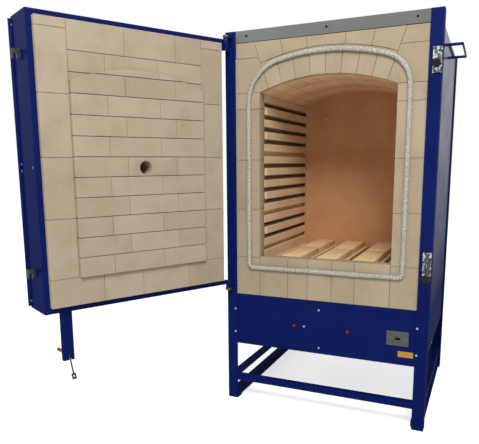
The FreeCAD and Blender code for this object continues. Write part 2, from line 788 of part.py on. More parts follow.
# Heating elements: hairpins in the side grooves, with tails through the back wall.
def wall_hairpin(high, low):
    """Two straight runs joined at the front, with both tails out at the back."""
    front = FACING_BACK + ELEMENT_FRONT
    runs = [
        rod(ELEMENT_X, front, groove_z(number), ELEMENT_RADIUS, TAIL_END - front, Y_AXIS)
        for number in (high, low)
    ]
    link = rod(ELEMENT_X, front, groove_z(low), ELEMENT_RADIUS, groove_z(high) - groove_z(low), Z_AXIS)
    corners = [
        Part.makeSphere(ELEMENT_RADIUS, FreeCAD.Vector(ELEMENT_X, front, groove_z(number)))
        for number in (high, low)
    ]
    return fused([link, *runs, *corners])


wall_elements = []
for high, low in HAIRPINS:
    hairpin = wall_hairpin(high, low)
    wall_elements += [hairpin, mirrored(hairpin)]
save("wall_elements", wall_elements)

channel_lefts = [OPENING_LEFT] + [x + SLAB_WIDTH / 2 for x in SLAB_CENTRES]
floor_element_x = [x + FLOOR_ELEMENT_OFFSET for x in channel_lefts]
floor_front = FACING_BACK + ELEMENT_FRONT


def floor_hairpin(left, right):
    """Two runs in the floor grooves, joined under the slab at the front."""
    runs = [
        rod(x, floor_front, FLOOR_ELEMENT_Z, ELEMENT_RADIUS, TAIL_END - floor_front, Y_AXIS)
        for x in (left, right)
    ]
    link = rod(left, floor_front, FLOOR_ELEMENT_Z, ELEMENT_RADIUS, right - left, X_AXIS)
    corners = [
        Part.makeSphere(ELEMENT_RADIUS, FreeCAD.Vector(x, floor_front, FLOOR_ELEMENT_Z))
        for x in (left, right)
    ]
    return fused([link, *runs, *corners])


floor_pairs = [floor_element_x[:2], floor_element_x[2:]]
save("floor_elements", [floor_hairpin(left, right) for left, right in floor_pairs])

# Every place where a tail leaves through the back wall.
tails = [(ELEMENT_X, groove_z(number)) for pair in HAIRPINS for number in pair]
tails += [(WIDTH - x, z) for x, z in tails]
tails += [(x, FLOOR_ELEMENT_Z) for x in floor_element_x]
tail_holes = [
    rod(x, CHAMBER_BACK, z, TAIL_RADIUS, BACK_BOARD_END - CHAMBER_BACK, Y_AXIS) for x, z in tails
]
tail_holes.append(
    rod(
        THERMOCOUPLE_X,
        CHAMBER_BACK,
        THERMOCOUPLE_Z,
        THERMOCOUPLE_RADIUS + RUNNING_FIT,
        BACK_BOARD_END - CHAMBER_BACK,
        Y_AXIS,
    )
)
back_holes = Part.makeCompound(tail_holes)

# Clamp blocks on the tails, in the space behind the back insulation.
terminal_y = BACK_BOARD_END + TERMINAL_GAP
terminals = []
for x, z in tails:
    block = box(
        x - TERMINAL / 2,
        x + TERMINAL / 2,
        terminal_y,
        TAIL_END,
        z - TERMINAL / 2,
        z + TERMINAL / 2,
    )
    hole = rod(x, terminal_y, z, ELEMENT_RADIUS, TERMINAL_LENGTH, Y_AXIS)
    terminals.append(block.cut(hole))
save("element_terminals", terminals)

sheath = rod(
    THERMOCOUPLE_X,
    CHAMBER_BACK - THERMOCOUPLE_REACH,
    THERMOCOUPLE_Z,
    THERMOCOUPLE_RADIUS,
    BACK_BOARD_END - CHAMBER_BACK + THERMOCOUPLE_REACH,
    Y_AXIS,
)
head = rod(
    THERMOCOUPLE_X,
    BACK_BOARD_END,
    THERMOCOUPLE_Z,
    THERMOCOUPLE_HEAD,
    TERMINAL_LENGTH,
    Y_AXIS,
)
save("thermocouple", [fused([sheath, head])])


# Back wall in courses, drilled for the tails and the thermocouple.
back_courses = round((SKEWBACK_TOP - FLOOR_BRICK_Z) / BACK_COURSE)
back_wall = [
    box(WALL_LEFT, WALL_RIGHT, CHAMBER_BACK, BACK_WALL_END, z0, z1).cut(back_holes)
    for z0, z1 in even_spans(FLOOR_BRICK_Z, SKEWBACK_TOP, back_courses)
]
save("back_wall_bricks", back_wall)

# Floor bricks with the element grooves, and the slabs that stand on them.
floor_cuts = [
    box(
        x - GROOVE_HEIGHT / 2,
        x + GROOVE_HEIGHT / 2,
        FACING_BACK,
        CHAMBER_BACK,
        FLOOR_TOP - GROOVE_HEIGHT,
        FLOOR_TOP,
    )
    for x in floor_element_x
]
floor_cuts += [
    box(
        left,
        right,
        FACING_BACK,
        floor_front + GROOVE_HEIGHT / 2,
        FLOOR_TOP - GROOVE_HEIGHT,
        FLOOR_TOP,
    )
    for left, right in floor_pairs
]
floor_grooves = Part.makeCompound(floor_cuts)
floor_bricks = [
    box(x0, x1, y0, y1, FLOOR_BRICK_Z, FLOOR_TOP).cut(floor_grooves)
    for x0, x1 in even_spans(OPENING_LEFT, OPENING_RIGHT, FLOOR_BRICK_COLUMN_COUNT)
    for y0, y1 in even_spans(FACING_BACK, CHAMBER_BACK, FLOOR_BRICK_ROW_COUNT)
]
save("floor_bricks", floor_bricks)

floor_slabs = [
    box(x - SLAB_WIDTH / 2, x + SLAB_WIDTH / 2, y0, y1, FLOOR_TOP, SILL_Z)
    for x in SLAB_CENTRES
    for y0, y1 in even_spans(FACING_BACK, CHAMBER_BACK, 2)
]
save("floor_slabs", floor_slabs)

# Backup boards: both sides, the back and under the floor.
side_board = box(SKIN_LEFT, WALL_LEFT, POST_WALL, BACK_BOARD_END, BRICK_Z, SKEWBACK_TOP)
back_board = box(WALL_LEFT, WALL_RIGHT, BACK_WALL_END, BACK_BOARD_END, BRICK_Z, SKEWBACK_TOP)
floor_board = box(WALL_LEFT, WALL_RIGHT, FACING_BACK, BACK_WALL_END, BRICK_Z, FLOOR_BRICK_Z)
boards = [side_board, mirrored(side_board), back_board.cut(back_holes), floor_board]
save("backup_boards", boards)

# Soft blanket over the vault, up to the roof sheet.
steps = range(-VOUSSOIRS_PER_SIDE, VOUSSOIRS_PER_SIDE)
vault_space = [
    prism(
        vault_outline(step * VOUSSOIR_ANGLE, (step + 1) * VOUSSOIR_ANGLE), FACING_BACK, CHAMBER_BACK
    )
    for step in steps
]
upper_layer = box(SKIN_LEFT, SKIN_RIGHT, FACING_BACK, BACK_BOARD_END, SKEWBACK_TOP, FRONT_TOP)
haunch = prism(
    [
        on_line(-SKEW_ANGLE, SKEWBACK_TOP),
        on_arch(EXTRADOS, -SKEW_ANGLE),
        (CENTRE_X, on_arch(EXTRADOS, -SKEW_ANGLE)[1]),
        (CENTRE_X, SKEWBACK_TOP),
    ],
    FACING_BACK,
    CHAMBER_BACK,
)
haunches = fused([haunch, mirrored(haunch)])
blanket = fused([upper_layer, haunches]).cut(vault_space)
save("roof_blanket", [blanket])


# Rope seal: one closed loop round the opening, lying on the facing bricks.
def corner_on_arch(side_x, radius, inward):
    """Centre of the top corner that touches both the side run and the arch run."""
    x = side_x + inward * radius
    z = ARCH_Z + math.sqrt((ROPE_ARCH_RADIUS - radius) ** 2 - (x - CENTRE_X) ** 2)
    return x, z


def rope_point(centre, radius, angle, y):
    """A point on one of the rope's arcs."""
    turn = math.radians(angle)
    return FreeCAD.Vector(centre[0] + radius * math.cos(turn), y, centre[1] + radius * math.sin(turn))


def rope_arc(centre, radius, start, end, y):
    """One arc of the rope's route."""
    marks = [rope_point(centre, radius, angle, y) for angle in (start, (start + end) / 2, end)]
    return Part.Arc(*marks).toShape()


rope_half_depth = (FACING_Y - LINING_FACE - 2 * SEAT_GAP) / 2
rope_y = FACING_Y - SEAT_GAP - rope_half_depth
left_corner = corner_on_arch(ROPE_LEFT, ROPE_TOP_LEFT, 1)
right_corner = corner_on_arch(ROPE_RIGHT, ROPE_TOP_RIGHT, -1)
left_angle = math.degrees(math.atan2(left_corner[1] - ARCH_Z, left_corner[0] - CENTRE_X))
right_angle = math.degrees(math.atan2(right_corner[1] - ARCH_Z, right_corner[0] - CENTRE_X))
low_left = (ROPE_LEFT + ROPE_CORNER, ROPE_BOTTOM + ROPE_CORNER)
low_right = (ROPE_RIGHT - ROPE_CORNER, ROPE_BOTTOM + ROPE_CORNER)
rope_arcs = [
    rope_arc(low_left, ROPE_CORNER, 270, 180, rope_y),
    rope_arc(left_corner, ROPE_TOP_LEFT, 180, left_angle, rope_y),
    rope_arc((CENTRE_X, ARCH_Z), ROPE_ARCH_RADIUS, left_angle, right_angle, rope_y),
    rope_arc(right_corner, ROPE_TOP_RIGHT, right_angle, 0, rope_y),
    rope_arc(low_right, ROPE_CORNER, 0, -90, rope_y),
]
rope_edges = []
for arc, following in zip(rope_arcs, rope_arcs[1:] + rope_arcs[:1]):
    rope_edges.append(arc)
    end = arc.lastVertex(True).Point
    start = following.firstVertex(True).Point
    if end.distanceToPoint(start) > SEAT_GAP:
        rope_edges.append(Part.LineSegment(end, start).toShape())
rope_path = Part.Wire(rope_edges)
rope_section = Part.Ellipse(
    FreeCAD.Vector(ROPE_LEFT + ROPE_CORNER, rope_y, ROPE_BOTTOM), ROPE_HALF_WIDTH, rope_half_depth
).toShape()
rope_section.rotate(FreeCAD.Vector(ROPE_LEFT + ROPE_CORNER, rope_y, ROPE_BOTTOM), Y_AXIS, 90)
rope = rope_path.makePipeShell([Part.Wire(rope_section)], True, True)
save("rope_seal", [rope])


# Control gear on the compartment sheet, and the supply gland in the rear panel.
gear_z = COMPARTMENT_Z + RAIL_WALL + SHEET
gear = [
    box(x, x + width, GEAR_Y, GEAR_Y + GEAR_DEPTH, gear_z, gear_z + height)
    for x, width, height in GEAR_BOXES
]
save("control_gear", gear)

panel_back = SKIN_BACK + SHEET
gland = fused(
    [
        rod(GLAND_X, panel_back, GLAND_Z, GLAND_HEX, GLAND_OUT, Y_AXIS),
        rod(GLAND_X, SKIN_BACK - GLAND_NUT, GLAND_Z, GLAND_THREAD, GLAND_NUT + SHEET, Y_AXIS),
        rod(GLAND_X, SKIN_BACK - GLAND_NUT, GLAND_Z, GLAND_HEX, GLAND_NUT, Y_AXIS),
    ]
)
gland_bore = rod(
    GLAND_X, SKIN_BACK - GLAND_NUT, GLAND_Z, GLAND_BORE, GLAND_NUT + SHEET + GLAND_OUT, Y_AXIS
)
save("supply_gland", [gland.cut(gland_bore)])


# Hinge lugs on the left post, their pins, and the knuckles on the door.
def hinge_lug(z):
    """A flat lug from the post's face out to the hinge line."""
    body = box(HINGE_X - LUG_RADIUS, HINGE_X + LUG_RADIUS, HINGE_Y, 0, z, z + LUG_THICK)
    nose = rod(HINGE_X, HINGE_Y, z, LUG_RADIUS, LUG_THICK, Z_AXIS)
    hole = rod(HINGE_X, HINGE_Y, z, HINGE_PIN_RADIUS, LUG_THICK, Z_AXIS)
    return fused([body, nose]).cut(hole)


save("hinge_lugs", [hinge_lug(UPPER_LUG_Z), hinge_lug(LOWER_LUG_Z)])

upper_knuckle = (UPPER_KNUCKLE_Z, UPPER_LUG_Z - SEAT_GAP)
lower_knuckle_z = LOWER_LUG_Z + LUG_THICK + SEAT_GAP
lower_knuckle = (lower_knuckle_z, lower_knuckle_z + LOWER_KNUCKLE_LENGTH)


def knuckle(z0, z1):
    """A round barrel with an arm to the door's side wall."""
    barrel = rod(HINGE_X, HINGE_Y, z0, KNUCKLE_RADIUS, z1 - z0, Z_AXIS)
    arm_z0 = max(z0, DOOR_BOTTOM)
    arm_z1 = min(z1, DOOR_TOP)
    arm = box(HINGE_X, DOOR_LEFT, DOOR_FACE - KNUCKLE_ARM, DOOR_FACE, arm_z0, arm_z1)
    hole = rod(HINGE_X, HINGE_Y, z0, HINGE_PIN_RADIUS + RUNNING_FIT, z1 - z0, Z_AXIS)
    return fused([barrel, arm]).cut(hole)


save_on_door("door_knuckles", [knuckle(*upper_knuckle), knuckle(*lower_knuckle)])

pin_spans = [
    (upper_knuckle[0], UPPER_LUG_Z + LUG_THICK + PIN_HEAD),
    (LOWER_LUG_Z - PIN_HEAD, lower_knuckle[1]),
]
pins = [rod(HINGE_X, HINGE_Y, z0, HINGE_PIN_RADIUS, z1 - z0, Z_AXIS) for z0, z1 in pin_spans]
latch_pin_start = LATCH_X - CHEEK_GAP / 2 - CHEEK_THICK
for height in LATCH_HEIGHTS.values():
    length = CHEEK_GAP + 2 * CHEEK_THICK
    pins.append(rod(latch_pin_start, PIVOT_Y, height, LATCH_PIN_RADIUS, length, X_AXIS))
save("pivot_pins", pins)


# Latch plates on the right post, each with two cheeks for its swing bolt.
def latch_plate(name, height):
    """A base plate with a clevis."""
    bottom = height - PLATE_DOWN[name]
    top = height + PLATE_UP[name]
    shapes = [box(PLATE_LEFT, PLATE_RIGHT, -PLATE_THICK, 0, bottom, top)]
    for inner in (LATCH_X - CHEEK_GAP / 2 - CHEEK_THICK, LATCH_X + CHEEK_GAP / 2):
        shapes.append(
            box(
                inner,
                inner + CHEEK_THICK,
                PIVOT_Y - CHEEK_REACH,
                -PLATE_THICK,
                height - CHEEK_HALF_HEIGHT,
                height + CHEEK_HALF_HEIGHT,
            )
        )
    hole = rod(latch_pin_start, PIVOT_Y, height, LATCH_PIN_RADIUS, CHEEK_GAP + 2 * CHEEK_THICK, X_AXIS)
    return fused(shapes).cut(hole)


save("latch_plates", [latch_plate(name, height) for name, height in LATCH_HEIGHTS.items()])

# Swing bolt, washer and star knob of each latch, drawn level and then drooped.
for name, height in LATCH_HEIGHTS.items():
    droop = (FreeCAD.Vector(LATCH_X, PIVOT_Y, height), X_AXIS, LATCH_DROOP)
    eye_width = CHEEK_GAP - 2 * SEAT_GAP
    eye_left = LATCH_X - eye_width / 2
    bolt_end = KNOB_END - KNOB_CAP - SEAT_GAP
    bolt = fused(
        [
            rod(eye_left, PIVOT_Y, height, EYE_RADIUS, eye_width, X_AXIS),
            box(
                eye_left,
                eye_left + eye_width,
                PIVOT_Y - NECK_LENGTH,
                PIVOT_Y,
                height - SHANK_RADIUS,
                height + SHANK_RADIUS,
            ),
            rod(
                LATCH_X,
                PIVOT_Y - NECK_LENGTH,
                height,
                SHANK_RADIUS,
                bolt_end - NECK_LENGTH,
                OUTWARD,
            ),
        ]
    )
    pin_hole = rod(eye_left, PIVOT_Y, height, LATCH_PIN_RADIUS + RUNNING_FIT, eye_width, X_AXIS)
    save(f"{name}_swing_bolt", [bolt.cut(pin_hole)], [droop])

    bore = SHANK_RADIUS + RUNNING_FIT
    washer_y = PIVOT_Y - CATCH_DISTANCE - SEAT_GAP
    washer = rod(LATCH_X, washer_y, height, WASHER_RADIUS, WASHER_THICK, OUTWARD)
    washer = washer.cut(rod(LATCH_X, washer_y, height, bore, WASHER_THICK, OUTWARD))
    save(f"{name}_latch_washer", [washer], [droop])

    knob_y = PIVOT_Y - KNOB_START
    disc_y = knob_y - KNOB_HUB
    star = [
        rod(LATCH_X, knob_y, height, KNOB_HUB_RADIUS, KNOB_HUB, OUTWARD),
        rod(LATCH_X, disc_y, height, KNOB_LOBE_PLACE, KNOB_THICK, OUTWARD),
    ]
    for lobe in range(KNOB_LOBES):
        turn = 2 * math.pi * lobe / KNOB_LOBES
        lobe_x = LATCH_X + KNOB_LOBE_PLACE * math.sin(turn)
        lobe_z = height + KNOB_LOBE_PLACE * math.cos(turn)
        star.append(rod(lobe_x, disc_y, lobe_z, KNOB_LOBE_RADIUS, KNOB_THICK, OUTWARD))
    thread = rod(LATCH_X, knob_y, height, bore, KNOB_END - KNOB_START - KNOB_CAP, OUTWARD)
    save(f"{name}_star_knob", [fused(star).cut(thread)], [droop])


# Door casing: four walls with an inner flange round the lining.
lining_hole = box(
    LINING_LEFT, LINING_RIGHT, DOOR_BACK, DOOR_FACE, LINING_BOTTOM, LINING_TOP
)
pan_hole = box(
    DOOR_LEFT + DOOR_WALL,
    DOOR_RIGHT - DOOR_WALL,
    DOOR_BACK,
    DOOR_FACE - DOOR_WALL,
    DOOR_BOTTOM + DOOR_WALL,
    DOOR_TOP - DOOR_WALL,
)
casing = box(DOOR_LEFT, DOOR_RIGHT, DOOR_BACK, DOOR_FACE, DOOR_BOTTOM, DOOR_TOP)
save_on_door("door_frame", [casing.cut(pan_hole).cut(lining_hole)])

spy_hole = rod(SPY_X, COVER_FACE, SPY_Z, SPY_RADIUS, PLUG_FACE - COVER_FACE, Y_AXIS)
cover = box(
    DOOR_LEFT,
    DOOR_RIGHT + COVER_LIP,
    COVER_FACE,
    DOOR_BACK,
    DOOR_BOTTOM + COVER_INSET,
    DOOR_TOP - COVER_INSET,
)
save_on_door("door_cover", [cover.cut(spy_hole)])

lining_space = box(
    LINING_LEFT, LINING_RIGHT, DOOR_BRICK_BACK, DOOR_FACE, LINING_BOTTOM, LINING_TOP
)
save_on_door("door_insulation", [pan_hole.cut(lining_space).cut(spy_hole)])


# Door bricks: a border and a field. The field's arched middle stands proud as the plug.
def door_brick(x0, x1, z0, z1):
    """One brick of the lining, without the plug."""
    return box(x0, x1, DOOR_BRICK_BACK, LINING_FACE, z0, z1)


plug_left = OPENING_LEFT + PLUG_CLEARANCE
plug_right = OPENING_RIGHT - PLUG_CLEARANCE
plug = box(plug_left, plug_right, LINING_FACE, PLUG_FACE, PLUG_BOTTOM, LINING_TOP)
plug = plug.common(rod(CENTRE_X, LINING_FACE, ARCH_Z, PLUG_RADIUS, PLUG_DEPTH, Y_AXIS))

border = []
for x0, x1 in spans(FIELD_LEFT, TOP_ROW_JOINTS, FIELD_RIGHT):
    border.append(door_brick(x0, x1, FIELD_TOP, LINING_TOP))
for x0, x1 in spans(LINING_LEFT, BOTTOM_ROW_JOINTS, LINING_RIGHT):
    border.append(door_brick(x0, x1, LINING_BOTTOM, FIELD_BOTTOM))
column_joints = whole_bricks(FIELD_BOTTOM, LINING_TOP, COLUMN_BRICK)
for z0, z1 in spans(FIELD_BOTTOM, column_joints, LINING_TOP):
    border.append(door_brick(LINING_LEFT, FIELD_LEFT, z0, z1))
    border.append(door_brick(FIELD_RIGHT, LINING_RIGHT, z0, z1))
save_on_door("door_border_bricks", border)

field = []
for course in range(FIELD_COURSE_COUNT):
    z0 = FIELD_BOTTOM + FIELD_COURSE * course
    z1 = z0 + FIELD_COURSE
    joints = FIELD_JOINTS_EVEN if course % 2 else FIELD_JOINTS_ODD
    for x0, x1 in spans(FIELD_LEFT, joints, FIELD_RIGHT):
        brick = door_brick(x0, x1, z0, z1)
        proud = plug.common(box(x0, x1, LINING_FACE, PLUG_FACE, z0, z1))
        if proud.Volume > 0:
            brick = fused([brick, proud])
        field.append(brick.cut(spy_hole))
save_on_door("door_field_bricks", field)

# Spy hole bung, pushed in from outside.
bung = fused(
    [
        rod(SPY_X, COVER_FACE, SPY_Z, SPY_RADIUS - BUNG_GAP, BUNG_LENGTH, Y_AXIS),
        rod(
            SPY_X,
            COVER_FACE - SEAT_GAP - BUNG_HEAD_LENGTH,
            SPY_Z,
            BUNG_HEAD_RADIUS,
            BUNG_HEAD_LENGTH,
            Y_AXIS,
        ),
        rod(SPY_X, COVER_FACE - SEAT_GAP, SPY_Z, SPY_RADIUS - BUNG_GAP, SEAT_GAP, Y_AXIS),
    ]
)
save_on_door("spy_bung", [bung])


# Slotted catches on the door's free side, where the swing bolts come up from below.
def catch(height):
    """A plate with a slot that is open at the bottom."""
    slot_radius = SHANK_RADIUS + SLOT_CLEARANCE
    body = box(
        DOOR_RIGHT,
        DOOR_RIGHT + CATCH_REACH,
        CATCH_FACE,
        CATCH_FACE + CATCH_THICK,
        height - CATCH_DOWN,
        height + CATCH_UP,
    )
    opening = box(
        LATCH_X - slot_radius,
        LATCH_X + slot_radius,
        CATCH_FACE,
        CATCH_FACE + CATCH_THICK,
        height - CATCH_DOWN,
        height,
    )
    return body.cut(opening).cut(rod(LATCH_X, CATCH_FACE, height, slot_radius, CATCH_THICK, Y_AXIS))


save_on_door("door_catches", [catch(height) for height in LATCH_HEIGHTS.values()])

door_middle = (DOOR_BOTTOM + DOOR_TOP) / 2 + DOOR_SCREW_ABOVE_MIDDLE
screw_places = [
    (DOOR_SCREW_BACK_Y, DOOR_BOTTOM + DOOR_SCREW_FROM_BOTTOM),
    (DOOR_SCREW_BACK_Y, door_middle - DOOR_SCREW_PAIR / 2),
    (DOOR_SCREW_BACK_Y, door_middle + DOOR_SCREW_PAIR / 2),
    (DOOR_SCREW_BACK_Y, DOOR_TOP - DOOR_SCREW_FROM_TOP),
    (DOOR_SCREW_FRONT_Y, door_middle),
]
door_screws = [rod(DOOR_RIGHT, y, z, SCREW_RADIUS, SCREW_HEAD, X_AXIS) for y, z in screw_places]
save_on_door("door_screws", door_screws)


# Leg under the door, slotted for the interlock lever, with the lever's pin.
leg = box(LEG_LEFT, LEG_RIGHT, LEG_FRONT, LEG_BACK, LEG_BOTTOM, DOOR_BOTTOM)
leg_core = box(
    LEG_LEFT + LEG_WALL,
    LEG_RIGHT - LEG_WALL,
    LEG_FRONT + LEG_WALL,
    LEG_BACK - LEG_WALL,
    LEG_BOTTOM,
    DOOR_BOTTOM,
)
leg_slot = box(
    LEVER_X - LEG_SLOT_WIDTH / 2,
    LEVER_X + LEG_SLOT_WIDTH / 2,
    LEG_FRONT,
    LEG_BACK,
    LEG_BOTTOM,
    LEVER_Z + LEVER_ROD_RADIUS + LEG_SLOT_ABOVE_ROD,
)
pin_hole = rod(LEG_LEFT, LEG_Y, LEVER_Z, LEVER_PIN_RADIUS, LEG_RIGHT - LEG_LEFT, X_AXIS)
lever_pin = rod(LEG_LEFT, LEG_Y, LEVER_Z, LEVER_PIN_RADIUS, LEG_RIGHT - LEG_LEFT, X_AXIS)
save_on_door("door_leg", [leg.cut(leg_core).cut(leg_slot).cut(pin_hole), lever_pin])

# Interlock lever, drawn with its flat key level and then drooped.
lever_turn = (FreeCAD.Vector(LEVER_X, LEG_Y, LEVER_Z), X_AXIS, -LEVER_DROOP)
hub_left = LEG_LEFT + LEG_WALL + LEVER_SIDE_GAP
hub_width = LEG_WIDTH - 2 * (LEG_WALL + LEVER_SIDE_GAP)
arm_angle = math.radians(ARM_SAG + LEVER_DROOP)
arm_way = FreeCAD.Vector(0, -math.cos(arm_angle), -math.sin(arm_angle))
key_y = LEG_Y + KEY_START
key = box(
    LEVER_X - KEY_WIDTH / 2,
    LEVER_X + KEY_WIDTH / 2,
    key_y,
    key_y + KEY_LENGTH,
    LEVER_Z - KEY_THICK / 2,
    LEVER_Z + KEY_THICK / 2,
)
window_y = key_y + (KEY_LENGTH - KEY_WINDOW_LENGTH) / 2
window = box(
    LEVER_X - KEY_WINDOW_WIDTH / 2,
    LEVER_X + KEY_WINDOW_WIDTH / 2,
    window_y,
    window_y + KEY_WINDOW_LENGTH,
    LEVER_Z - KEY_THICK / 2,
    LEVER_Z + KEY_THICK / 2,
)
lever = fused(
    [
        rod(hub_left, LEG_Y, LEVER_Z, LEVER_HUB_RADIUS, hub_width, X_AXIS),
        rod(LEVER_X, LEG_Y, LEVER_Z, LEVER_ROD_RADIUS, KEY_START, Y_AXIS),
        rod(LEVER_X, LEG_Y, LEVER_Z, LEVER_ROD_RADIUS, ARM_LENGTH, arm_way),
        key.cut(window),
    ]
)
hub_hole = rod(hub_left, LEG_Y, LEVER_Z, LEVER_PIN_RADIUS + RUNNING_FIT, hub_width, X_AXIS)
save_on_door("interlock_lever", [lever.cut(hub_hole)], [lever_turn])

grip_start = FreeCAD.Vector(LEVER_X, LEG_Y, LEVER_Z) + arm_way * GRIP_START
grip = Part.makeCylinder(GRIP_RADIUS, GRIP_LENGTH, grip_start, arm_way)
grip_bore = Part.makeCylinder(
    LEVER_ROD_RADIUS + RUNNING_FIT, ARM_LENGTH - GRIP_START + SEAT_GAP, grip_start, arm_way
)
save_on_door("lever_grip", [grip.cut(grip_bore)], [lever_turn])
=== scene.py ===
import math

import bmesh
import bpy
import numpy as np
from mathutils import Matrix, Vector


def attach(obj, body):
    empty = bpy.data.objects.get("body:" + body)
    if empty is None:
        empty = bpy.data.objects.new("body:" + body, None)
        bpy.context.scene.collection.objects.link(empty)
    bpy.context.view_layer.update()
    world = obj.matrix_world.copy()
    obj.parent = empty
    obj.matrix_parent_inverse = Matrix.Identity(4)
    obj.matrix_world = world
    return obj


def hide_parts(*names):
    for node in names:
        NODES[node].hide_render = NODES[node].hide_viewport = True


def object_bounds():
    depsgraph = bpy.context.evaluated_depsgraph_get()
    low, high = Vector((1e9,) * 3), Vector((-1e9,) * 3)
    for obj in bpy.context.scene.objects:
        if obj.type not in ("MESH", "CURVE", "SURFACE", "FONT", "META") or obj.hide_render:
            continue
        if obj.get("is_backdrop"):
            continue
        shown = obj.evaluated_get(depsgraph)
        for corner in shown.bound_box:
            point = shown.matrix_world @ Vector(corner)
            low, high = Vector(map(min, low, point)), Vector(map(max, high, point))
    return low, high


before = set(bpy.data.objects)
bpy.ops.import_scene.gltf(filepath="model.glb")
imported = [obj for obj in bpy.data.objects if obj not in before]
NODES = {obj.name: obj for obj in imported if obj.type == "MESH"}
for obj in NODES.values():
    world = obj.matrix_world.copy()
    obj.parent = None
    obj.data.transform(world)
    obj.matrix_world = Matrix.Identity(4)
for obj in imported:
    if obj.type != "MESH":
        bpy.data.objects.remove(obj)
cad_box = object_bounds()

# View
# The kiln stands turned to the right, seen from a little above the middle of its door.
CAMERA_PLACE = (1.0872, -2.3461, 1.1342)
CAMERA_TURN = math.radians(25.0)
CAMERA_DOWN = math.radians(9.69)
CAMERA_ROLL = math.radians(0.52)


def aimed(thing, right, up, place):
    """Adds a camera or a lamp whose own X and Y point right and up, and whose Z points back."""
    axes = np.eye(4)
    axes[:3, 0] = right
    axes[:3, 1] = up
    axes[:3, 2] = np.cross(right, up)
    axes[:3, 3] = place
    bpy.context.scene.collection.objects.link(thing)
    thing.matrix_world = axes.T.tolist()


camera_data = bpy.data.cameras.new("camera")
camera_data.sensor_width = 36.0
camera_data.lens = 41.13
camera_data.shift_x = 0.0134
camera_data.shift_y = 0.0762
camera = bpy.data.objects.new("camera", camera_data)
level = math.cos(CAMERA_DOWN)
ahead = np.array([-math.sin(CAMERA_TURN) * level, math.cos(CAMERA_TURN) * level, -math.sin(CAMERA_DOWN)])
level_right = np.array([math.cos(CAMERA_TURN), math.sin(CAMERA_TURN), 0.0])
level_up = np.cross(level_right, ahead)
right = level_right * math.cos(CAMERA_ROLL) - level_up * math.sin(CAMERA_ROLL)
up = level_up * math.cos(CAMERA_ROLL) + level_right * math.sin(CAMERA_ROLL)
aimed(camera, right, up, CAMERA_PLACE)
bpy.context.scene.camera = camera
bpy.context.scene.view_settings.view_transform = "Standard"


# Studio
# A white room with a wide lamp above the camera, a weak one on the left and a pale floor under the
# kiln's feet. Each finish is made with two classes: a signal is a socket that can be reckoned with.
class Signal:
    """A number or colour that a node gives. Sums and products of signals add their own nodes."""

    def __init__(self, finish, socket):
        self.finish = finish
        self.socket = socket

    def other(self, name):
        """Another output of the node that gives the signal."""
        return Signal(self.finish, self.socket.node.outputs[name])

    def reckon(self, operation, first, second=0.0):
        return self.finish.add("ShaderNodeMath", {"operation": operation}, {0: first, 1: second})

    def __add__(self, other):
        return self.reckon("ADD", self, other)

    __radd__ = __add__

    def __sub__(self, other):
        return self.reckon("SUBTRACT", self, other)

    def __rsub__(self, other):
        return self.reckon("SUBTRACT", other, self)

    def __mul__(self, other):
        return self.reckon("MULTIPLY", self, other)

    __rmul__ = __mul__

    def __truediv__(self, other):
        return self.reckon("DIVIDE", self, other)

    def __gt__(self, other):
        return self.reckon("GREATER_THAN", self, other)

    def __lt__(self, other):
        return self.reckon("LESS_THAN", self, other)

    def wave(self):
        """The sine of the signal, in radians."""
        return self.reckon("SINE", self)

    def whole(self):
        """The signal rounded down."""
        return self.reckon("FLOOR", self)


class Finish:
    """A finish being mixed: each node is added with its settings first, then its inputs."""

    def __init__(self, name, tree=None):
        self.material = None
        if tree is None:
            self.material = bpy.data.materials.new(name)
            self.material.use_nodes = True
            tree = self.material.node_tree
        self.tree = tree

    def add(self, kind, settings=None, inputs=None, output=0):
        node = self.tree.nodes.new(kind)
        for key, value in (settings or {}).items():
            setattr(node, key, value)
        for key, value in (inputs or {}).items():
            self.feed(node.inputs[key], value)
        return Signal(self, node.outputs[output])

    def feed(self, socket, value):
        """Links a signal to a socket, or sets the socket to a plain value."""
        if isinstance(value, Signal):
            self.tree.links.new(value.socket, socket)
        else:
            socket.default_value = value

    def place(self, stretch=(1.0, 1.0, 1.0)):
        """Where a point lies on the kiln in metres, stretched for a pattern."""
        point = self.add("ShaderNodeTexCoord", output="Object")
        return self.add("ShaderNodeMapping", {}, {"Vector": point, "Scale": stretch})

    def height(self, axis="Z"):
        """How far a point lies up the kiln, or along another of its axes, in metres."""
        point = self.add("ShaderNodeTexCoord", output="Object")
        return self.add("ShaderNodeSeparateXYZ", {}, {"Vector": point}, axis)

    def cloud(self, scale, detail=3.0, rough=0.55, at=None):
        """Soft random patches; scale is how many there are in a metre."""
        inputs = {"Vector": at or self.place(), "Scale": scale, "Detail": detail, "Roughness": rough}
        return self.add("ShaderNodeTexNoise", {}, inputs)

    def blend(self, share, low, high):
        """One colour turning into another as the share goes from 0 to 1. The node's colours are its
        sockets 6, 7 and 2, because its numbers and vectors have the same names."""
        return self.add("ShaderNodeMix", {"data_type": "RGBA"}, {0: share, 6: low, 7: high}, 2)

    def step(self, signal, low, high):
        """0 below the low mark, 1 above the high one, straight between them."""
        return self.add("ShaderNodeMapRange", {}, {"Value": signal, "From Min": low, "From Max": high})

    def relief(self, height, depth, strength=1.0):
        """A surface that stands up by the height times the depth, in metres."""
        return self.add("ShaderNodeBump", {}, {"Strength": strength, "Distance": depth, "Height": height})

    def seen(self):
        """1 on rays from the camera, a mirror or a glass, 0 on the rays that light the kiln."""
        ray = self.add("ShaderNodeLightPath", output="Is Camera Ray")
        return ray + ray.other("Is Glossy Ray") + ray.other("Is Transmission Ray") > 0.5

    def coat(self, shader="Principled BSDF", **inputs):
        """What the surface itself is given: its colour, roughness, metal and so on."""
        for key, value in inputs.items():
            self.feed(self.tree.nodes[shader].inputs[key.replace("_", " ")], value)
        return self.material


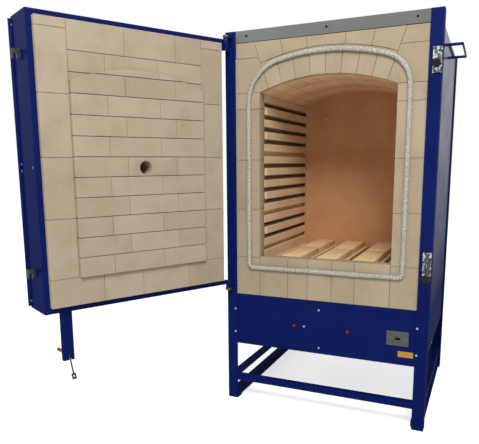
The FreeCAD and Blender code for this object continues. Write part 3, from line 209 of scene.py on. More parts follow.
def colour(red, green, blue):
    """A colour as a screen shows it, 0 to 255, turned into light: ((c + 0.055) / 1.055) to the power 2.4."""
    shown = np.array([red, green, blue]) / 255.0
    light = np.where(shown > 0.04045, ((shown + 0.055) / 1.055) ** 2.4, shown / 12.92)
    return (*light.tolist(), 1.0)


ROOM_LIGHT = 0.5
FLOOR_LIFT = 0.68
FLOOR_REACH = 9.0
WHITE = (1.0, 1.0, 1.0, 1.0)
BLACK = (0.0, 0.0, 0.0, 1.0)

world = bpy.data.worlds.new("room")
bpy.context.scene.world = world
world.use_nodes = True
room = Finish("room", world.node_tree)
room.coat("Background", Color=WHITE, Strength=ROOM_LIGHT + (1.0 - ROOM_LIGHT) * room.seen())

ground = Finish("pale_floor")
ground.coat(
    Base_Color=ground.blend(ground.cloud(40.0, 2.0), (0.78, 0.78, 0.78, 1.0), (0.82, 0.82, 0.82, 1.0)),
    Roughness=0.9,
    Emission_Color=ground.blend(ground.seen(), BLACK, WHITE),
    Emission_Strength=FLOOR_LIFT,
    Specular_IOR_Level=0.0,
)
floor_mesh = bpy.data.meshes.new("floor")
floor_corners = [(FLOOR_REACH * x, FLOOR_REACH * y, 0.0) for x, y in ((-1, -1), (1, -1), (1, 1), (-1, 1))]
floor_mesh.from_pydata(floor_corners, [], [(0, 1, 2, 3)])
floor_mesh.materials.append(ground.material)
floor = bpy.data.objects.new("floor", floor_mesh)
bpy.context.scene.collection.objects.link(floor)
floor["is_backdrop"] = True


def unit(vectors):
    """Vectors with their length made one."""
    return vectors / np.linalg.norm(vectors, axis=-1, keepdims=True)


def lamp(name, place, target, width, watts):
    """A square soft lamp that faces the target."""
    data = bpy.data.lights.new(name, "AREA")
    data.shape = "SQUARE"
    data.size = width
    data.energy = watts
    away = unit(np.array(place) - np.array(target))
    side = unit(np.cross((0.0, 0.0, 1.0), away))
    aimed(bpy.data.objects.new(name, data), side, np.cross(away, side), place)


lamp("high_lamp", place=(1.5, -3.3, 4.0), target=(0.4, 0.3, 0.9), width=1.6, watts=190.0)
lamp("side_lamp", place=(-3.2, -2.6, 2.6), target=(0.2, 0.0, 1.0), width=2.0, watts=20.0)


# Stand
# Four posts of angle iron on square feet, with angle rails and box runners welded between them.
# Everything is sprayed with deep blue gloss enamel, a little dusty and faintly orange-peeled.
def eased(node, width=0.0008):
    """A CAD piece with its corners joined, its flat faces made whole and its sharp edges rounded."""
    thing = NODES[node]
    weld = thing.modifiers.new("weld", "WELD")
    weld.merge_threshold = 0.00002
    flat_faces = thing.modifiers.new("flat_faces", "DECIMATE")
    flat_faces.decimate_type = "DISSOLVE"
    flat_faces.angle_limit = math.radians(0.5)
    edge = thing.modifiers.new("edge", "BEVEL")
    edge.width = width
    edge.segments = 2
    edge.limit_method = "ANGLE"
    edge.angle_limit = math.radians(50.0)
    edge.use_clamp_overlap = True


def coated(material, *nodes, width=0.0008):
    """Gives CAD pieces a finish and rounds their edges."""
    for node in nodes:
        thing = NODES[node]
        thing.data.materials.clear()
        thing.data.materials.append(material)
        eased(node, width)


def enamelled(name, gloss):
    """Sprayed enamel that is glossier higher up, where less dust and handling has dulled it."""
    enamel = Finish(name)
    dust = enamel.cloud(6.0, 5.0, 0.65)
    peel = enamel.cloud(260.0, 1.0)
    bands = enamel.cloud(1.0, 4.0, 0.7, enamel.place((3.0, 3.0, 7.0)))
    clean = enamel.step(enamel.height(), 0.5, 1.7) * (0.55 + 0.45 * enamel.step(bands, 0.2, 0.8))
    return enamel.coat(
        Base_Color=enamel.blend(enamel.step(dust, 0.25, 0.85), colour(10, 22, 78), colour(16, 29, 88)),
        Roughness=0.27 + 0.16 * dust,
        Normal=enamel.relief(peel, 0.00012, 0.5),
        Coat_Weight=0.03 + gloss * clean,
        Coat_Roughness=0.16,
        Specular_IOR_Level=0.0,
    )


blue = enamelled("blue_enamel", 0.12)
coated(blue, "front_posts", "rear_posts", "foot_plates", "cross_rails", "side_rails", "floor_runners")

# Casing
# Folded sheet steel panels and the frames behind them, in the same enamel as the stand. The wide
# smooth side panels shine more than the posts.
coated(enamelled("glossy_blue_enamel", 0.7), "left_side_panel", "right_side_panel", width=0.0006)
coated(blue, "compartment_frame", "brick_frame", "floor_tray", "lower_front_panel", width=0.0006)
coated(blue, "rear_panel", "roof_panel", "side_handle", width=0.0006)

# Stainless strip
# A bright strip of brushed stainless sheet along the top front, screwed on.
brushed = Finish("brushed_stainless")
strokes = brushed.cloud(1.0, 4.0, 0.7, brushed.place((9.0, 500.0, 900.0)))
haze = brushed.cloud(5.0, 3.0)
sheen = brushed.blend(strokes, colour(98, 101, 99), colour(134, 137, 133))
stainless = brushed.coat(
    # Painted reflection: the colour is painted darker towards the right end, so the left end stands as a
    # painted highlight.
    Base_Color=brushed.blend(brushed.step(brushed.height("X"), 0.2, 0.85) * 0.75, sheen, colour(74, 73, 69)),
    Metallic=1.0,
    Roughness=0.26 + 0.2 * haze,
    Normal=brushed.relief(strokes, 0.00004, 0.4),
)
coated(stainless, "top_strip")

# Small plates
# A zinc plated slot plate and a bare yellow plate, riveted flat on the lower front panel, zinc plated
# hinge lugs and latch plates, and dark moulded bezels and switch gear.
plating = Finish("bright_zinc")
mottle = plating.cloud(90.0, 4.0, 0.7)
scuff = plating.cloud(14.0, 5.0, 0.7)
zinc = plating.coat(
    Base_Color=plating.blend(mottle, colour(50, 51, 50), colour(92, 94, 91)),
    Metallic=0.9,
    Roughness=0.3 + 0.25 * scuff,
    Normal=plating.relief(mottle, 0.00008, 0.4),
)
coated(zinc, "interlock_plate", "hinge_lugs", "pivot_pins", width=0.0005)

pressed = Finish("pressed_zinc_painted_glints")
emboss_and_painted_glints = pressed.cloud(75.0, 3.0, 0.6)
bright_zinc = pressed.coat(
    # Painted glints: bright flecks in the colour stand in for reflections off the pressed plate. The same
    # pattern also sets its roughness and embossing.
    Base_Color=pressed.blend(pressed.step(emboss_and_painted_glints, 0.46, 0.56), colour(66, 70, 70), colour(172, 180, 180)),
    Metallic=0.9,
    Roughness=0.25 + 0.2 * emboss_and_painted_glints,
    Normal=pressed.relief(emboss_and_painted_glints, 0.0003, 0.5),
)
coated(bright_zinc, "latch_plates", width=0.0005)


def patchy(name, cloud, low, high, rough, spread=0.2, relief=None, **fixed):
    """A finish in soft patches between two colours, the lighter the rougher. The relief is how far the
    light patches stand up, in metres, and how strongly."""
    finish = Finish(name)
    patches = finish.cloud(*cloud)
    if relief:
        fixed["Normal"] = finish.relief(patches, *relief)
    shade = finish.blend(patches, colour(*low), colour(*high))
    return finish.coat(Base_Color=shade, Roughness=rough + spread * patches, **fixed)


yellow = patchy("yellow_plate", (60.0, 4.0, 0.6), (156, 108, 10), (178, 130, 20), 0.35, relief=(0.00005, 0.3))
coated(yellow, "blank_plate", width=0.0003)

moulding = Finish("dark_moulding")
speckle = moulding.cloud(700.0, 2.0)
patch = moulding.cloud(30.0, 3.0)
dark = moulding.coat(
    Base_Color=moulding.blend(patch, colour(16, 14, 15), colour(30, 26, 28)),
    Roughness=0.42 + 0.2 * patch,
    Normal=moulding.relief(speckle, 0.00006, 0.5),
    Specular_IOR_Level=0.15,
)
coated(dark, "interlock_switch", "control_gear", "lamp_bezels", width=0.0006)

# Screws
# Pan head screws with a cross recess: three on the strip, four on the posts, three on the panel and
# two small ones on the slot plate. Those on the panel are bright, those on the strip are dark.
FOOT_CENTRE = np.array((25.0, 25.0, 0.0))
MM = 0.001


def in_kiln(points):
    """Millimetres from the kiln's front left floor corner, as metres from its front left foot."""
    return (np.asarray(points, float) - FOOT_CENTRE) * MM


class Surface:
    """Sheets of points gathered into one mesh. A sheet is rows of points, each row closed on itself."""

    def __init__(self):
        self.points = []
        self.faces = []
        self.smooth = []
        self.tones = []
        self.maps = []
        self.count = 0

    def add(self, rows, tone=0.5, looped=False, place=in_kiln, size=(1.0, 1.0)):
        """Four-sided faces between each row and the next; the end rows are closed unless looped."""
        rows = np.asarray(rows, float)
        length, around = rows.shape[:2]
        index = np.arange(length * around).reshape(length, around) + self.count
        low = index if looped else index[:-1]
        high = np.roll(index, -1, axis=0) if looped else index[1:]
        quads = np.stack([low, np.roll(low, -1, 1), np.roll(high, -1, 1), high], -1).reshape(-1, 4)
        across, along = np.meshgrid(np.arange(around), np.arange(len(low)))
        left, right = across / around * size[0], (across + 1) / around * size[0]
        near, far = along / len(low) * size[1], (along + 1) / len(low) * size[1]
        corners = [(left, near), (right, near), (right, far), (left, far)]
        self.maps.append(np.stack([np.stack(pair, -1) for pair in corners], 2).reshape(-1, 2))
        self.faces += quads.tolist()
        if not looped:
            self.faces += [index[0][::-1].tolist(), index[-1].tolist()]
            self.maps.append(np.zeros((2 * around, 2)))
        ends = 0 if looped else 2
        self.smooth += [True] * len(quads) + [False] * ends
        self.tones += [tone] * (len(quads) + ends)
        self.points.append(place(rows.reshape(-1, 3)))
        self.count += length * around

    def settle(self, name, material, body, slot, *nodes, crease=38.0):
        """The gathered sheets as one object with faces outwards, smooth but for its creases. It goes on
        its body with its material and hides the CAD pieces that it stands for. The slot is not used."""
        mesh = bpy.data.meshes.new(name)
        mesh.from_pydata(np.concatenate(self.points), [], self.faces)
        mesh.attributes.new("tone", "FLOAT", "FACE").data.foreach_set("value", self.tones)
        mesh.uv_layers.new(name="along").data.foreach_set("uv", np.concatenate(self.maps).ravel())
        work = bmesh.new()
        work.from_mesh(mesh)
        bmesh.ops.recalc_face_normals(work, faces=work.faces)
        work.to_mesh(mesh)
        work.free()
        mesh.set_sharp_from_angle(angle=math.radians(crease))
        mesh.polygons.foreach_set("use_smooth", self.smooth)
        mesh.materials.append(material)
        piece = bpy.data.objects.new(name, mesh)
        bpy.context.scene.collection.objects.link(piece)
        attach(piece, body)
        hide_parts(*nodes)


def full_circle(count):
    """Angles evenly spaced all the way round."""
    return np.linspace(0.0, 2 * np.pi, count, endpoint=False)


def beside(x, y, z, across, reach, up):
    """Points to the right of a place, in front of it and above it."""
    return np.stack(np.broadcast_arrays(x + across, y - reach, z + up), -1)


def screw_head(x, z, face, radius=5.0, height=2.5, turn=0.6, slot=1.5, depth=0.9, around=32):
    """Rings that shrink to the middle while they rise as a flat dome; near the middle the height
    drops by the recess wherever the point is close to one of two crossed lines."""
    share = np.array([1.0, 1.0, 0.97, 0.88, 0.72, 0.6, 0.58, 0.4, 0.25, 0.1])[:, None]
    rise = np.array([0.0, 0.45, 0.68, 0.86, 0.96, 0.99, 1.0, 1.0, 1.0, 1.0])[:, None]
    angle = full_circle(around)
    along = share * radius * np.cos(angle)
    across = share * radius * np.sin(angle)
    in_slot = np.minimum(np.abs(along), np.abs(across)) < slot / 2
    recess = depth * in_slot * (share < 0.6)
    aside = along * math.cos(turn) - across * math.sin(turn)
    up = along * math.sin(turn) + across * math.cos(turn)
    return beside(x, face, z, aside, rise * height - recess, up)


STRIP_SCREWS = ((102.0, 1693.0), (462.0, 1693.0), (822.0, 1693.0))
POST_SCREWS = ((42.0, 455.0), (41.0, 341.0), (876.0, 453.0), (877.0, 336.0))
PANEL_SCREWS = ((450.0, 486.0), (453.0, 310.0), (382.0, 403.0))
PLATE_SCREWS = ((770.0, 399.0), (831.0, 399.0))
turned_steel = Finish("bright_screw_steel")
brush = turned_steel.cloud(240.0, 3.0)
head_tone = turned_steel.add("ShaderNodeAttribute", {"attribute_name": "tone"}, output="Fac")
screw_steel = turned_steel.coat(
    Base_Color=turned_steel.blend(head_tone * (0.8 + 0.4 * brush), colour(24, 26, 32), colour(178, 184, 194)),
    Metallic=0.8,
    Roughness=0.3 + 0.2 * brush,
)
screws = Surface()
for face, tone, places in ((3.0, 0.0, STRIP_SCREWS), (0.0, 0.75, POST_SCREWS), (5.0, 0.7, PANEL_SCREWS)):
    for number, (x, z) in enumerate(places):
        screws.add(screw_head(x, z, face, turn=0.6 + 1.1 * number), tone=tone)
for number, (x, z) in enumerate(PLATE_SCREWS):
    screws.add(screw_head(x, z, 3.0, radius=3.4, height=1.6, turn=0.3 + 0.9 * number), tone=0.3)
screws.settle("casing_screws_detail", screw_steel, "kiln_body", "zinc", "casing_screws")


# Signal lamps
# Red glass lenses with a ribbed dome, pushed through round holes in the lower front panel.
def turned_shape(profile, x, y, z, around=48, ribs=0, rib=0.0):
    """A profile of radius and reach turned round a line that points out of the front."""
    radius, reach = np.array(profile).T[:, :, None]
    angle = full_circle(around)
    radius = radius - rib * (0.5 - 0.5 * np.cos(ribs * angle)) * (radius > 1.0)
    return beside(x, y, z, radius * np.cos(angle), reach, radius * np.sin(angle))


LENS = ((7.4, -30.0), (7.5, 3.0), (7.5, 5.2), (7.1, 6.6), (6.2, 7.7), (4.6, 8.5), (2.6, 8.9), (0.6, 9.0))
red_lens = patchy(
    "red_lens",
    (420.0, 2.0),
    (88, 10, 12),
    (132, 26, 24),
    rough=0.12,
    spread=0.1,
    relief=(0.0001, 0.4),
    Coat_Weight=0.1,
    Specular_IOR_Level=0.2,
)
LAMP_PLACES = ((336.0, 404.0), (583.0, 402.0))
lamps = Surface()
for x, z in LAMP_PLACES:
    lamps.add(turned_shape(LENS, x, 5.0, z, ribs=16, rib=0.5))
lamps.settle("signal_lenses", red_lens, "kiln_body", "red_lens", "signal_lamps")

# Facing bricks
# Insulating firebrick, sawn to size: jambs and sill soldiers round the opening, and bricks above
# the arch with radial joints. The faces are pitted, the arrises slightly chipped.
rng = np.random.default_rng(7)


def firebrick(name, pale, middle, brown, baked_from=None):
    """Fired clay foam: each brick has its own tone, with patches, pores and a few iron specks. Behind
    the given depth, in metres, it is browned by firing."""
    body = Finish(name)
    tone = body.add("ShaderNodeAttribute", {"attribute_name": "tone"}, output="Fac")
    patches = body.cloud(9.0, 5.0, 0.62)
    grain = body.cloud(330.0, 4.0, 0.7)
    pores = body.add("ShaderNodeTexVoronoi", {"feature": "F1"}, {"Vector": body.place(), "Scale": 520.0})
    specks = body.add("ShaderNodeTexVoronoi", {"feature": "F1"}, {"Vector": body.place(), "Scale": 85.0})
    share = 0.3 * tone + 0.7 * patches
    base = body.blend(body.step(share, 0.25, 0.75), pale, middle)
    base = body.blend(body.step(patches, 0.5, 0.8) * 0.35, base, brown)
    base = body.blend(body.step(grain, 0.55, 0.8) * 0.25, base, brown)
    base = body.blend((specks < 0.07) * 0.6, base, colour(92, 62, 44))
    if baked_from is not None:
        fired = body.blend(body.step(share, 0.25, 0.75), colour(232, 196, 158), colour(216, 176, 136))
        base = body.blend(body.step(body.height("Y"), baked_from, baked_from + 0.05), base, fired)
    pit = body.step(pores, 0.05, 0.3) * 0.6 + grain * 0.4
    return body.coat(
        Base_Color=base,
        Roughness=0.88 + 0.1 * grain,
        Normal=body.relief(pit, 0.0006, 0.55),
        Specular_IOR_Level=0.15,
    )


def drawn_in(corners, distance):
    """Every side moved inwards: a corner moves by (n + m) d / (1 + n . m), where n and m point inwards
    from its two sides and d is the distance."""
    way = unit(np.roll(corners, -1, axis=0) - corners)
    inward = np.stack([-way[:, 1], way[:, 0]], -1)
    before = np.roll(inward, 1, axis=0)
    return corners + (before + inward) * distance / (1.0 + np.sum(before * inward, axis=1))[:, None]


def outline(corners, radius, counts):
    """Each corner is cut back and bent along a parabola, and points are set along each side. Also gives
    how free each point is of the corners: the sine of its share of the side, 0 on the bends."""
    ahead_of = np.roll(corners, -1, axis=0) - corners
    side = np.linalg.norm(ahead_of, axis=1)
    way = ahead_of / side[:, None]
    cut = np.minimum(radius, 0.3 * np.minimum(side, np.roll(side, 1)))
    bend = np.array([0.0, 0.5, 1.0])[:, None]
    points = []
    free = []
    for i, corner in enumerate(corners):
        start = corner - way[i - 1] * cut[i]
        end = corner + way[i] * cut[i]
        points.append(start * (1 - bend) ** 2 + corner * 2 * bend * (1 - bend) + end * bend**2)
        free.append(np.zeros(3))
        run = side[i] - cut[i] - cut[(i + 1) % len(corners)]
        steps = np.arange(1, counts[i] + 1) / (counts[i] + 1)
        points.append(end + way[i] * run * steps[:, None])
        free.append(np.sin(np.pi * steps))
    return np.concatenate(points), np.concatenate(free)


def wander(length):
    """A smooth random line: three sines of falling size with random starts."""
    start = rng.uniform(0.0, 2 * np.pi, 3)
    waves = [np.sin(length * step + first) for step, first in zip((0.05, 0.13, 0.31), start)]
    return 0.5 * waves[0] + 0.3 * waves[1] + 0.2 * waves[2]


def wear(ring, ease):
    """How far an arris has worn back: a slow wander along it, and a chip where a second one peaks."""
    along = np.cumsum(np.linalg.norm(ring - np.roll(ring, 1, axis=0), axis=1))
    slow = 0.35 * ease * (1.0 + wander(along))
    return slow + 1.5 * np.clip((wander(along * 1.7) - 0.62) / 0.38, 0.0, 1.0)


def brick_rows(corners, near, far, ease, joint, spacing=13.0, worn=True):
    """A brick: its outline in X and Z, drawn in by half a joint, carried from near to far. At each
    end it steps in along a quarter circle, which wear widens here and there between the corners."""
    corners = np.asarray(corners, float)
    following = np.roll(corners, -1, axis=0)
    area = np.sum(corners[:, 0] * following[:, 1] - corners[:, 1] * following[:, 0])
    corners = corners if area > 0 else corners[::-1]
    side = np.linalg.norm(np.roll(corners, -1, axis=0) - corners, axis=1)
    counts = np.maximum(1, side / spacing).astype(int)
    rows = []
    for end, way in ((near, 1.0), (far, -1.0)):
        ring, free = outline(drawn_in(corners, joint), ease, counts)
        tangent = unit(np.roll(ring, -1, axis=0) - np.roll(ring, 1, axis=0))
        inward = np.stack([-tangent[:, 1], tangent[:, 0]], -1)
        rubbed = wear(ring, ease) * free if worn else 0.0 * free
        made = []
        for deep, in_share in ((0.0, 1.0), (0.3, 0.3), (1.0, 0.0)):
            ring = outline(drawn_in(corners, joint + ease * in_share), ease * (1.05 - in_share), counts)[0]
            ring = ring + inward * (rubbed * in_share)[:, None]
            depth = end + way * (ease + rubbed) * deep
            made.append(np.stack([ring[:, 0], depth, ring[:, 1]], -1))
        rows += made if way > 0 else made[::-1]
    return np.stack(rows)


BRICK_EASE = 1.5
HALF_JOINT = 0.5


def lay(wall, corners, near, far, place=in_kiln, ease=BRICK_EASE, tone=None):
    """Lays one brick in a wall, with its own tone and its faces up to a third of a millimetre off."""
    tone = rng.uniform(0.0, 1.0) if tone is None else tone
    near = near + rng.uniform(0.0, 0.3) * np.sign(far - near)
    wall.add(brick_rows(corners, near, far, ease, HALF_JOINT), tone=tone, place=place)


def block(x0, x1, z0, z1):
    """The four corners of an upright brick face."""
    return [(x0, z0), (x1, z0), (x1, z1), (x0, z1)]


def pairs(marks):
    """Neighbouring marks along a row."""
    return list(zip(marks, marks[1:]))


def mirrored(corners):
    """The same face on the other side of the kiln's middle."""
    return [(2 * MIDDLE - x, z) for x, z in corners]


FACE_Y = 5.0
FACE_BACK = 66.0
MIDDLE = 460.0
CASE_LEFT = 50.0
OPEN_LEFT = 164.0
OPEN_RIGHT = 756.0
CASE_RIGHT = 870.0
FACING_FOOT = 528.0
SILL_TOP = 714.0
SPRING_Z = 1449.0
ARCH_Z = 733.8
ARCH_RADIUS = 774.0
RING_RADIUS = 888.0
CHAMBER_BACK = 702.0
FACING_COLOURS = (colour(166, 151, 128), colour(154, 139, 115), colour(136, 118, 94))

cream = firebrick("facing_firebrick", *FACING_COLOURS)
jambs = Surface()
for z0, z1 in pairs((FACING_FOOT, 708.0, 931.7, 1155.4, 1379.1, SPRING_Z)):
    for x0, x1 in ((CASE_LEFT, OPEN_LEFT), (OPEN_RIGHT, CASE_RIGHT)):
        lay(jambs, block(x0, x1, z0, z1), FACE_Y, FACE_BACK)
jambs.settle("jamb_bricks_detail", cream, "kiln_body", "firebrick", "jamb_bricks")

sill = Surface()
for x0, x1 in pairs((OPEN_LEFT, 301.0, 394.0, 504.0, 606.0, OPEN_RIGHT)):
    lay(sill, block(x0, x1, FACING_FOOT, SILL_TOP), FACE_Y, FACE_BACK)
sill.settle("sill_bricks_detail", cream, "kiln_body", "firebrick", "sill_bricks")


def on_ring(radius, angle):
    """A point at an angle from upright round the arch's centre."""
    return MIDDLE + radius * math.sin(math.radians(angle)), ARCH_Z + radius * math.cos(math.radians(angle))


def on_ray(angle, height):
    """Where a radial joint reaches a height."""
    return MIDDLE + (height - ARCH_Z) * math.tan(math.radians(angle)), height


FRONT_TOP = 1665.0
SKEW = 19.2
SKEW_TOP = 1598.0
above = Surface()
for a0, a1 in pairs((-SKEW, -12.2, -5.2, 5.2, 12.2, SKEW)):
    under = [on_ring(RING_RADIUS, angle) for angle in np.linspace(a1, a0, 9)]
    lay(above, [on_ray(a0, FRONT_TOP), *under[::-1], on_ray(a1, FRONT_TOP)], FACE_Y, FACE_BACK)
corner = [(CASE_LEFT, SKEW_TOP), on_ray(-SKEW, SKEW_TOP), on_ray(-SKEW, FRONT_TOP), (CASE_LEFT, FRONT_TOP)]
lay(above, corner, FACE_Y, FACE_BACK)
lay(above, mirrored(corner), FACE_Y, FACE_BACK)
above.settle("arch_bricks_detail", cream, "kiln_body", "firebrick", "arch_bricks")

# Vault
# Three rings of eight wedge bricks between two skewbacks, laid one behind the other. The front ends
# of the first ring show round the arch.
BAKED_FROM = -0.012
WEDGE = 4.8
vault_brick = firebrick("vault_firebrick", *FACING_COLOURS, BAKED_FROM)
skewback = [(CASE_LEFT, SPRING_Z), (OPEN_LEFT, SPRING_Z), on_ring(ARCH_RADIUS, -SKEW)]
skewback += [on_ray(-SKEW, SKEW_TOP), (CASE_LEFT, SKEW_TOP)]
vault = Surface()
for y0, y1 in pairs((FACE_Y, 237.333, 469.667, CHAMBER_BACK)):
    for a0, a1 in pairs([step * WEDGE for step in range(-4, 5)]):
        inner = [on_ring(ARCH_RADIUS, a0), on_ring(ARCH_RADIUS, a1)]
        lay(vault, [*inner, on_ring(RING_RADIUS, a1), on_ring(RING_RADIUS, a0)], y0, y1)
    lay(vault, skewback, y0, y1)
    lay(vault, mirrored(skewback), y0, y1)
vault.settle("vault_bricks_detail", vault_brick, "kiln_body", "firebrick", "vault_bricks")

# Chamber walls and floor
# Grooved side walls, a drilled back wall and floor bricks, browned by firing, with three rows of
# slabs on the floor and channels between them.
WALL_FOOT = 0.66137
WALL_COURSE = 0.110167
WALL_BRICK = 0.23


def chamber_firebrick(name, pale, middle, painted_low_shade=0.0):
    """Firebrick whose tone changes from one course and length to the next, with painted shade that makes it
    browner towards the floor.
    Every other course is shifted by half a brick."""
    body = Finish(name)
    course = ((body.height() - WALL_FOOT) / WALL_COURSE).whole()
    odd = (course * 0.5 - (course * 0.5).whole()) * 2.0
    length = ((body.height("Y") + WALL_BRICK / 2 * odd) / WALL_BRICK).whole()
    tone = body.add("ShaderNodeTexWhiteNoise", {"noise_dimensions": "1D"}, {"W": course * 7.0 + length})
    patches = body.cloud(7.0, 5.0, 0.62)
    grain = body.cloud(330.0, 4.0, 0.7)
    share = 0.2 * tone + 0.8 * patches
    brown = colour(150, 104, 70)
    base = body.blend(body.step(share, 0.25, 0.75), pale, middle)
    base = body.blend(body.step(grain, 0.5, 0.8) * 0.3, base, brown)
    # Painted shade: by the given share, the wall is painted browner below about 1.2 metres, and fully so
    # below 0.7.
    base = body.blend(painted_low_shade * (1.0 - body.step(body.height(), 0.7, 1.2)), base, brown)
    return body.coat(
        Base_Color=base,
        Roughness=0.9,
        Normal=body.relief(grain, 0.0006, 0.5),
        Specular_IOR_Level=0.15,
    )


side_brick = chamber_firebrick("side_wall_firebrick", colour(228, 202, 168), colour(208, 178, 140))
back_brick = chamber_firebrick("back_wall_firebrick", colour(212, 166, 122), colour(190, 138, 96), 0.45)
coated(side_brick, "side_wall_bricks", width=0.0012)
coated(back_brick, "back_wall_bricks", width=0.0012)

baked = firebrick("slab_firebrick", colour(226, 196, 154), colour(214, 180, 136), colour(192, 152, 108))
coated(baked, "floor_bricks", width=0.0012)
SLAB_HALF = 48.5
SLAB_FRONT = 66.0
SLAB_FOOT = 684.0
slabs = Surface()
for x in (291.0, MIDDLE, 629.0):
    for y0, y1 in pairs((SLAB_FRONT, (SLAB_FRONT + CHAMBER_BACK) / 2, CHAMBER_BACK)):
        lay(slabs, block(x - SLAB_HALF, x + SLAB_HALF, SLAB_FOOT, SILL_TOP), y0, y1, ease=2.0)
slabs.settle("floor_slabs_detail", baked, "kiln_body", "floor_slab", "floor_slabs")

# Backup insulation
# Pale fibre boards behind the bricks, and soft blanket above the vault and inside the door.
wool = Finish("white_fibre")
strands = wool.cloud(60.0, 6.0, 0.75, wool.place((1.0, 1.0, 7.0)))
fluff = wool.cloud(300.0, 4.0, 0.7)
fibre = wool.coat(
    Base_Color=wool.blend(strands, colour(206, 203, 193), colour(236, 234, 228)),
    Roughness=0.95,
    Normal=wool.relief(strands * 0.5 + fluff * 0.5, 0.0012, 0.6),
)
coated(fibre, "backup_boards", "roof_blanket", "door_insulation", width=0.0015)


# Heating elements
# Coils of resistance wire lying in the grooves in hairpins, with straight tails through the back.
def coil(path_points, reach, wire, pitch, around=5, per_turn=8):
    """A wire wound round a path. Each point of the wire is the path's point plus the reach times the
    cosine and sine of the winding angle across the path; the angle grows by one turn a pitch."""
    path_points = np.asarray(path_points, float)
    steps = np.linalg.norm(np.diff(path_points, axis=0), axis=1)
    distance = np.concatenate([[0.0], np.cumsum(steps)])
    length = distance[-1]
    marks = np.linspace(0.0, length, int(length / pitch * per_turn) + 1)
    line = np.stack([np.interp(marks, distance, path_points[:, axis]) for axis in range(3)], -1)
    spread = path_points - path_points.mean(axis=0)
    normal = np.linalg.svd(spread, full_matrices=False)[2][2]
    across = unit(np.cross(unit(np.gradient(line, axis=0)), normal))
    angle = 2 * np.pi * marks / pitch
    spoke = across * np.cos(angle)[:, None] + normal * np.sin(angle)[:, None]
    centre = line + spoke * (reach - wire)
    third = np.cross(unit(np.gradient(centre, axis=0)), spoke)
    turn = full_circle(around)
    ring = spoke[:, None] * np.cos(turn)[None, :, None] + third[:, None] * np.sin(turn)[None, :, None]
    return centre[:, None] + ring * wire


def tail(x, z, radius=4.0, edge=0.6):
    """The thick straight end of an element, turned with a small chamfer, from the back wall to its clamp."""
    start = CHAMBER_BACK - 4.0
    length = TAIL_END - start
    profile = ((radius - edge, 0.0), (radius, -edge), (radius, edge - length), (radius - edge, -length))
    return turned_shape(profile, x, start, z, around=16)


def rounded(points, radius, steps=5):
    """An open path with each inner corner cut back by the radius and bent along a parabola."""
    points = np.asarray(points, float)
    made = [points[:1]]
    share = np.linspace(0.0, 1.0, steps)[:, None]
    for before, corner_point, after in zip(points, points[1:], points[2:]):
        start = corner_point + unit(before - corner_point) * radius
        end = corner_point + unit(after - corner_point) * radius
        made.append(start * (1 - share) ** 2 + corner_point * 2 * share * (1 - share) + end * share**2)
    made.append(points[-1:])
    return np.concatenate(made)


ELEMENT_RADIUS = 6.5
WIRE = 1.3
COIL_PITCH = 8.0
HAIRPIN_BEND = 8.0
FRONT_BEND = 80.0
TAIL_END = 869.0
LOW_GROOVE = 744.0
GROOVE_STEP = 661.0 / 12
HAIRPINS = ((12, 11), (10, 9), (7, 6), (5, 4), (2, 1))
FLOOR_COIL_Z = 673.0
oxidised = patchy(
    "resistance_wire",
    (160.0, 4.0, 0.65),
    (62, 50, 44),
    (104, 84, 68),
    rough=0.6,
    spread=0.25,
    relief=(0.0001, 0.5),
    Metallic=0.45,
)


def add_hairpin(coils, start, end):
    """One element: its coil runs forward from the start place, across and back to the end place,
    each an X and Z on the back wall, and its tails go on through the wall."""
    corners = ((start, CHAMBER_BACK), (start, FRONT_BEND), (end, FRONT_BEND), (end, CHAMBER_BACK))
    route = rounded([(x, y, z) for (x, z), y in corners], HAIRPIN_BEND)
    coils.add(coil(route, ELEMENT_RADIUS, WIRE, COIL_PITCH))
    for x, z in (start, end):
        coils.add(tail(x, z))


for side_name, x in (("left", 151.5), ("right", 768.5)):
    wall_coils = Surface()
    for high, low in HAIRPINS:
        add_hairpin(wall_coils, (x, LOW_GROOVE + GROOVE_STEP * high), (x, LOW_GROOVE + GROOVE_STEP * low))
    name = f"{side_name}_wall_coils"
    wall_coils.settle(name, oxidised, "kiln_body", "element_wire", "wall_elements", crease=80.0)

floor_coils = Surface()
for x0, x1 in ((186.0, 361.5), (530.5, 699.5)):
    add_hairpin(floor_coils, (x0, FLOOR_COIL_Z), (x1, FLOOR_COIL_Z))
floor_coils.settle("floor_coils", oxidised, "kiln_body", "element_wire", "floor_elements", crease=80.0)

brass = patchy("brass_clamp", (120.0, 4.0, 0.6), (150, 118, 62), (206, 172, 98), rough=0.32, Metallic=1.0)
coated(brass, "element_terminals", width=0.0006)

sheath = patchy("ceramic_sheath", (40.0, 4.0, 0.6), (200, 184, 160), (226, 216, 198), rough=0.4)
coated(sheath, "thermocouple", width=0.001)

# Rope seal
# A braided glass fibre rope in one loop, cemented to the facing bricks. Its place and the radii of
# its corners come first.
ROPE_Y = -3.5
ROPE_HALF_WIDTH = 11.0
ROPE_HALF_DEPTH = 8.2
ROPE_LEFT = 115.0
ROPE_RIGHT = 806.0
ROPE_LOW = 663.0
ROPE_ARCH = 869.0
LOW_CORNER = 20.0
TOP_LEFT = 180.0
TOP_RIGHT = 130.0


def arc(centre, radius, start, end, spacing=2.6):
    """Points along part of a circle in X and Z, from one angle to another in degrees."""
    count = max(6, int(abs(math.radians(end - start)) * radius / spacing))
    angle = np.radians(np.linspace(start, end, count, endpoint=False))
    return np.stack([centre[0] + radius * np.cos(angle), centre[1] + radius * np.sin(angle)], -1)


def straight(start, end, spacing=2.6):
    """Points along a straight run, without its end."""
    count = max(2, int(math.dist(start, end) / spacing))
    share = np.linspace(0.0, 1.0, count, endpoint=False)[:, None]
    return np.array(start) * (1 - share) + np.array(end) * share


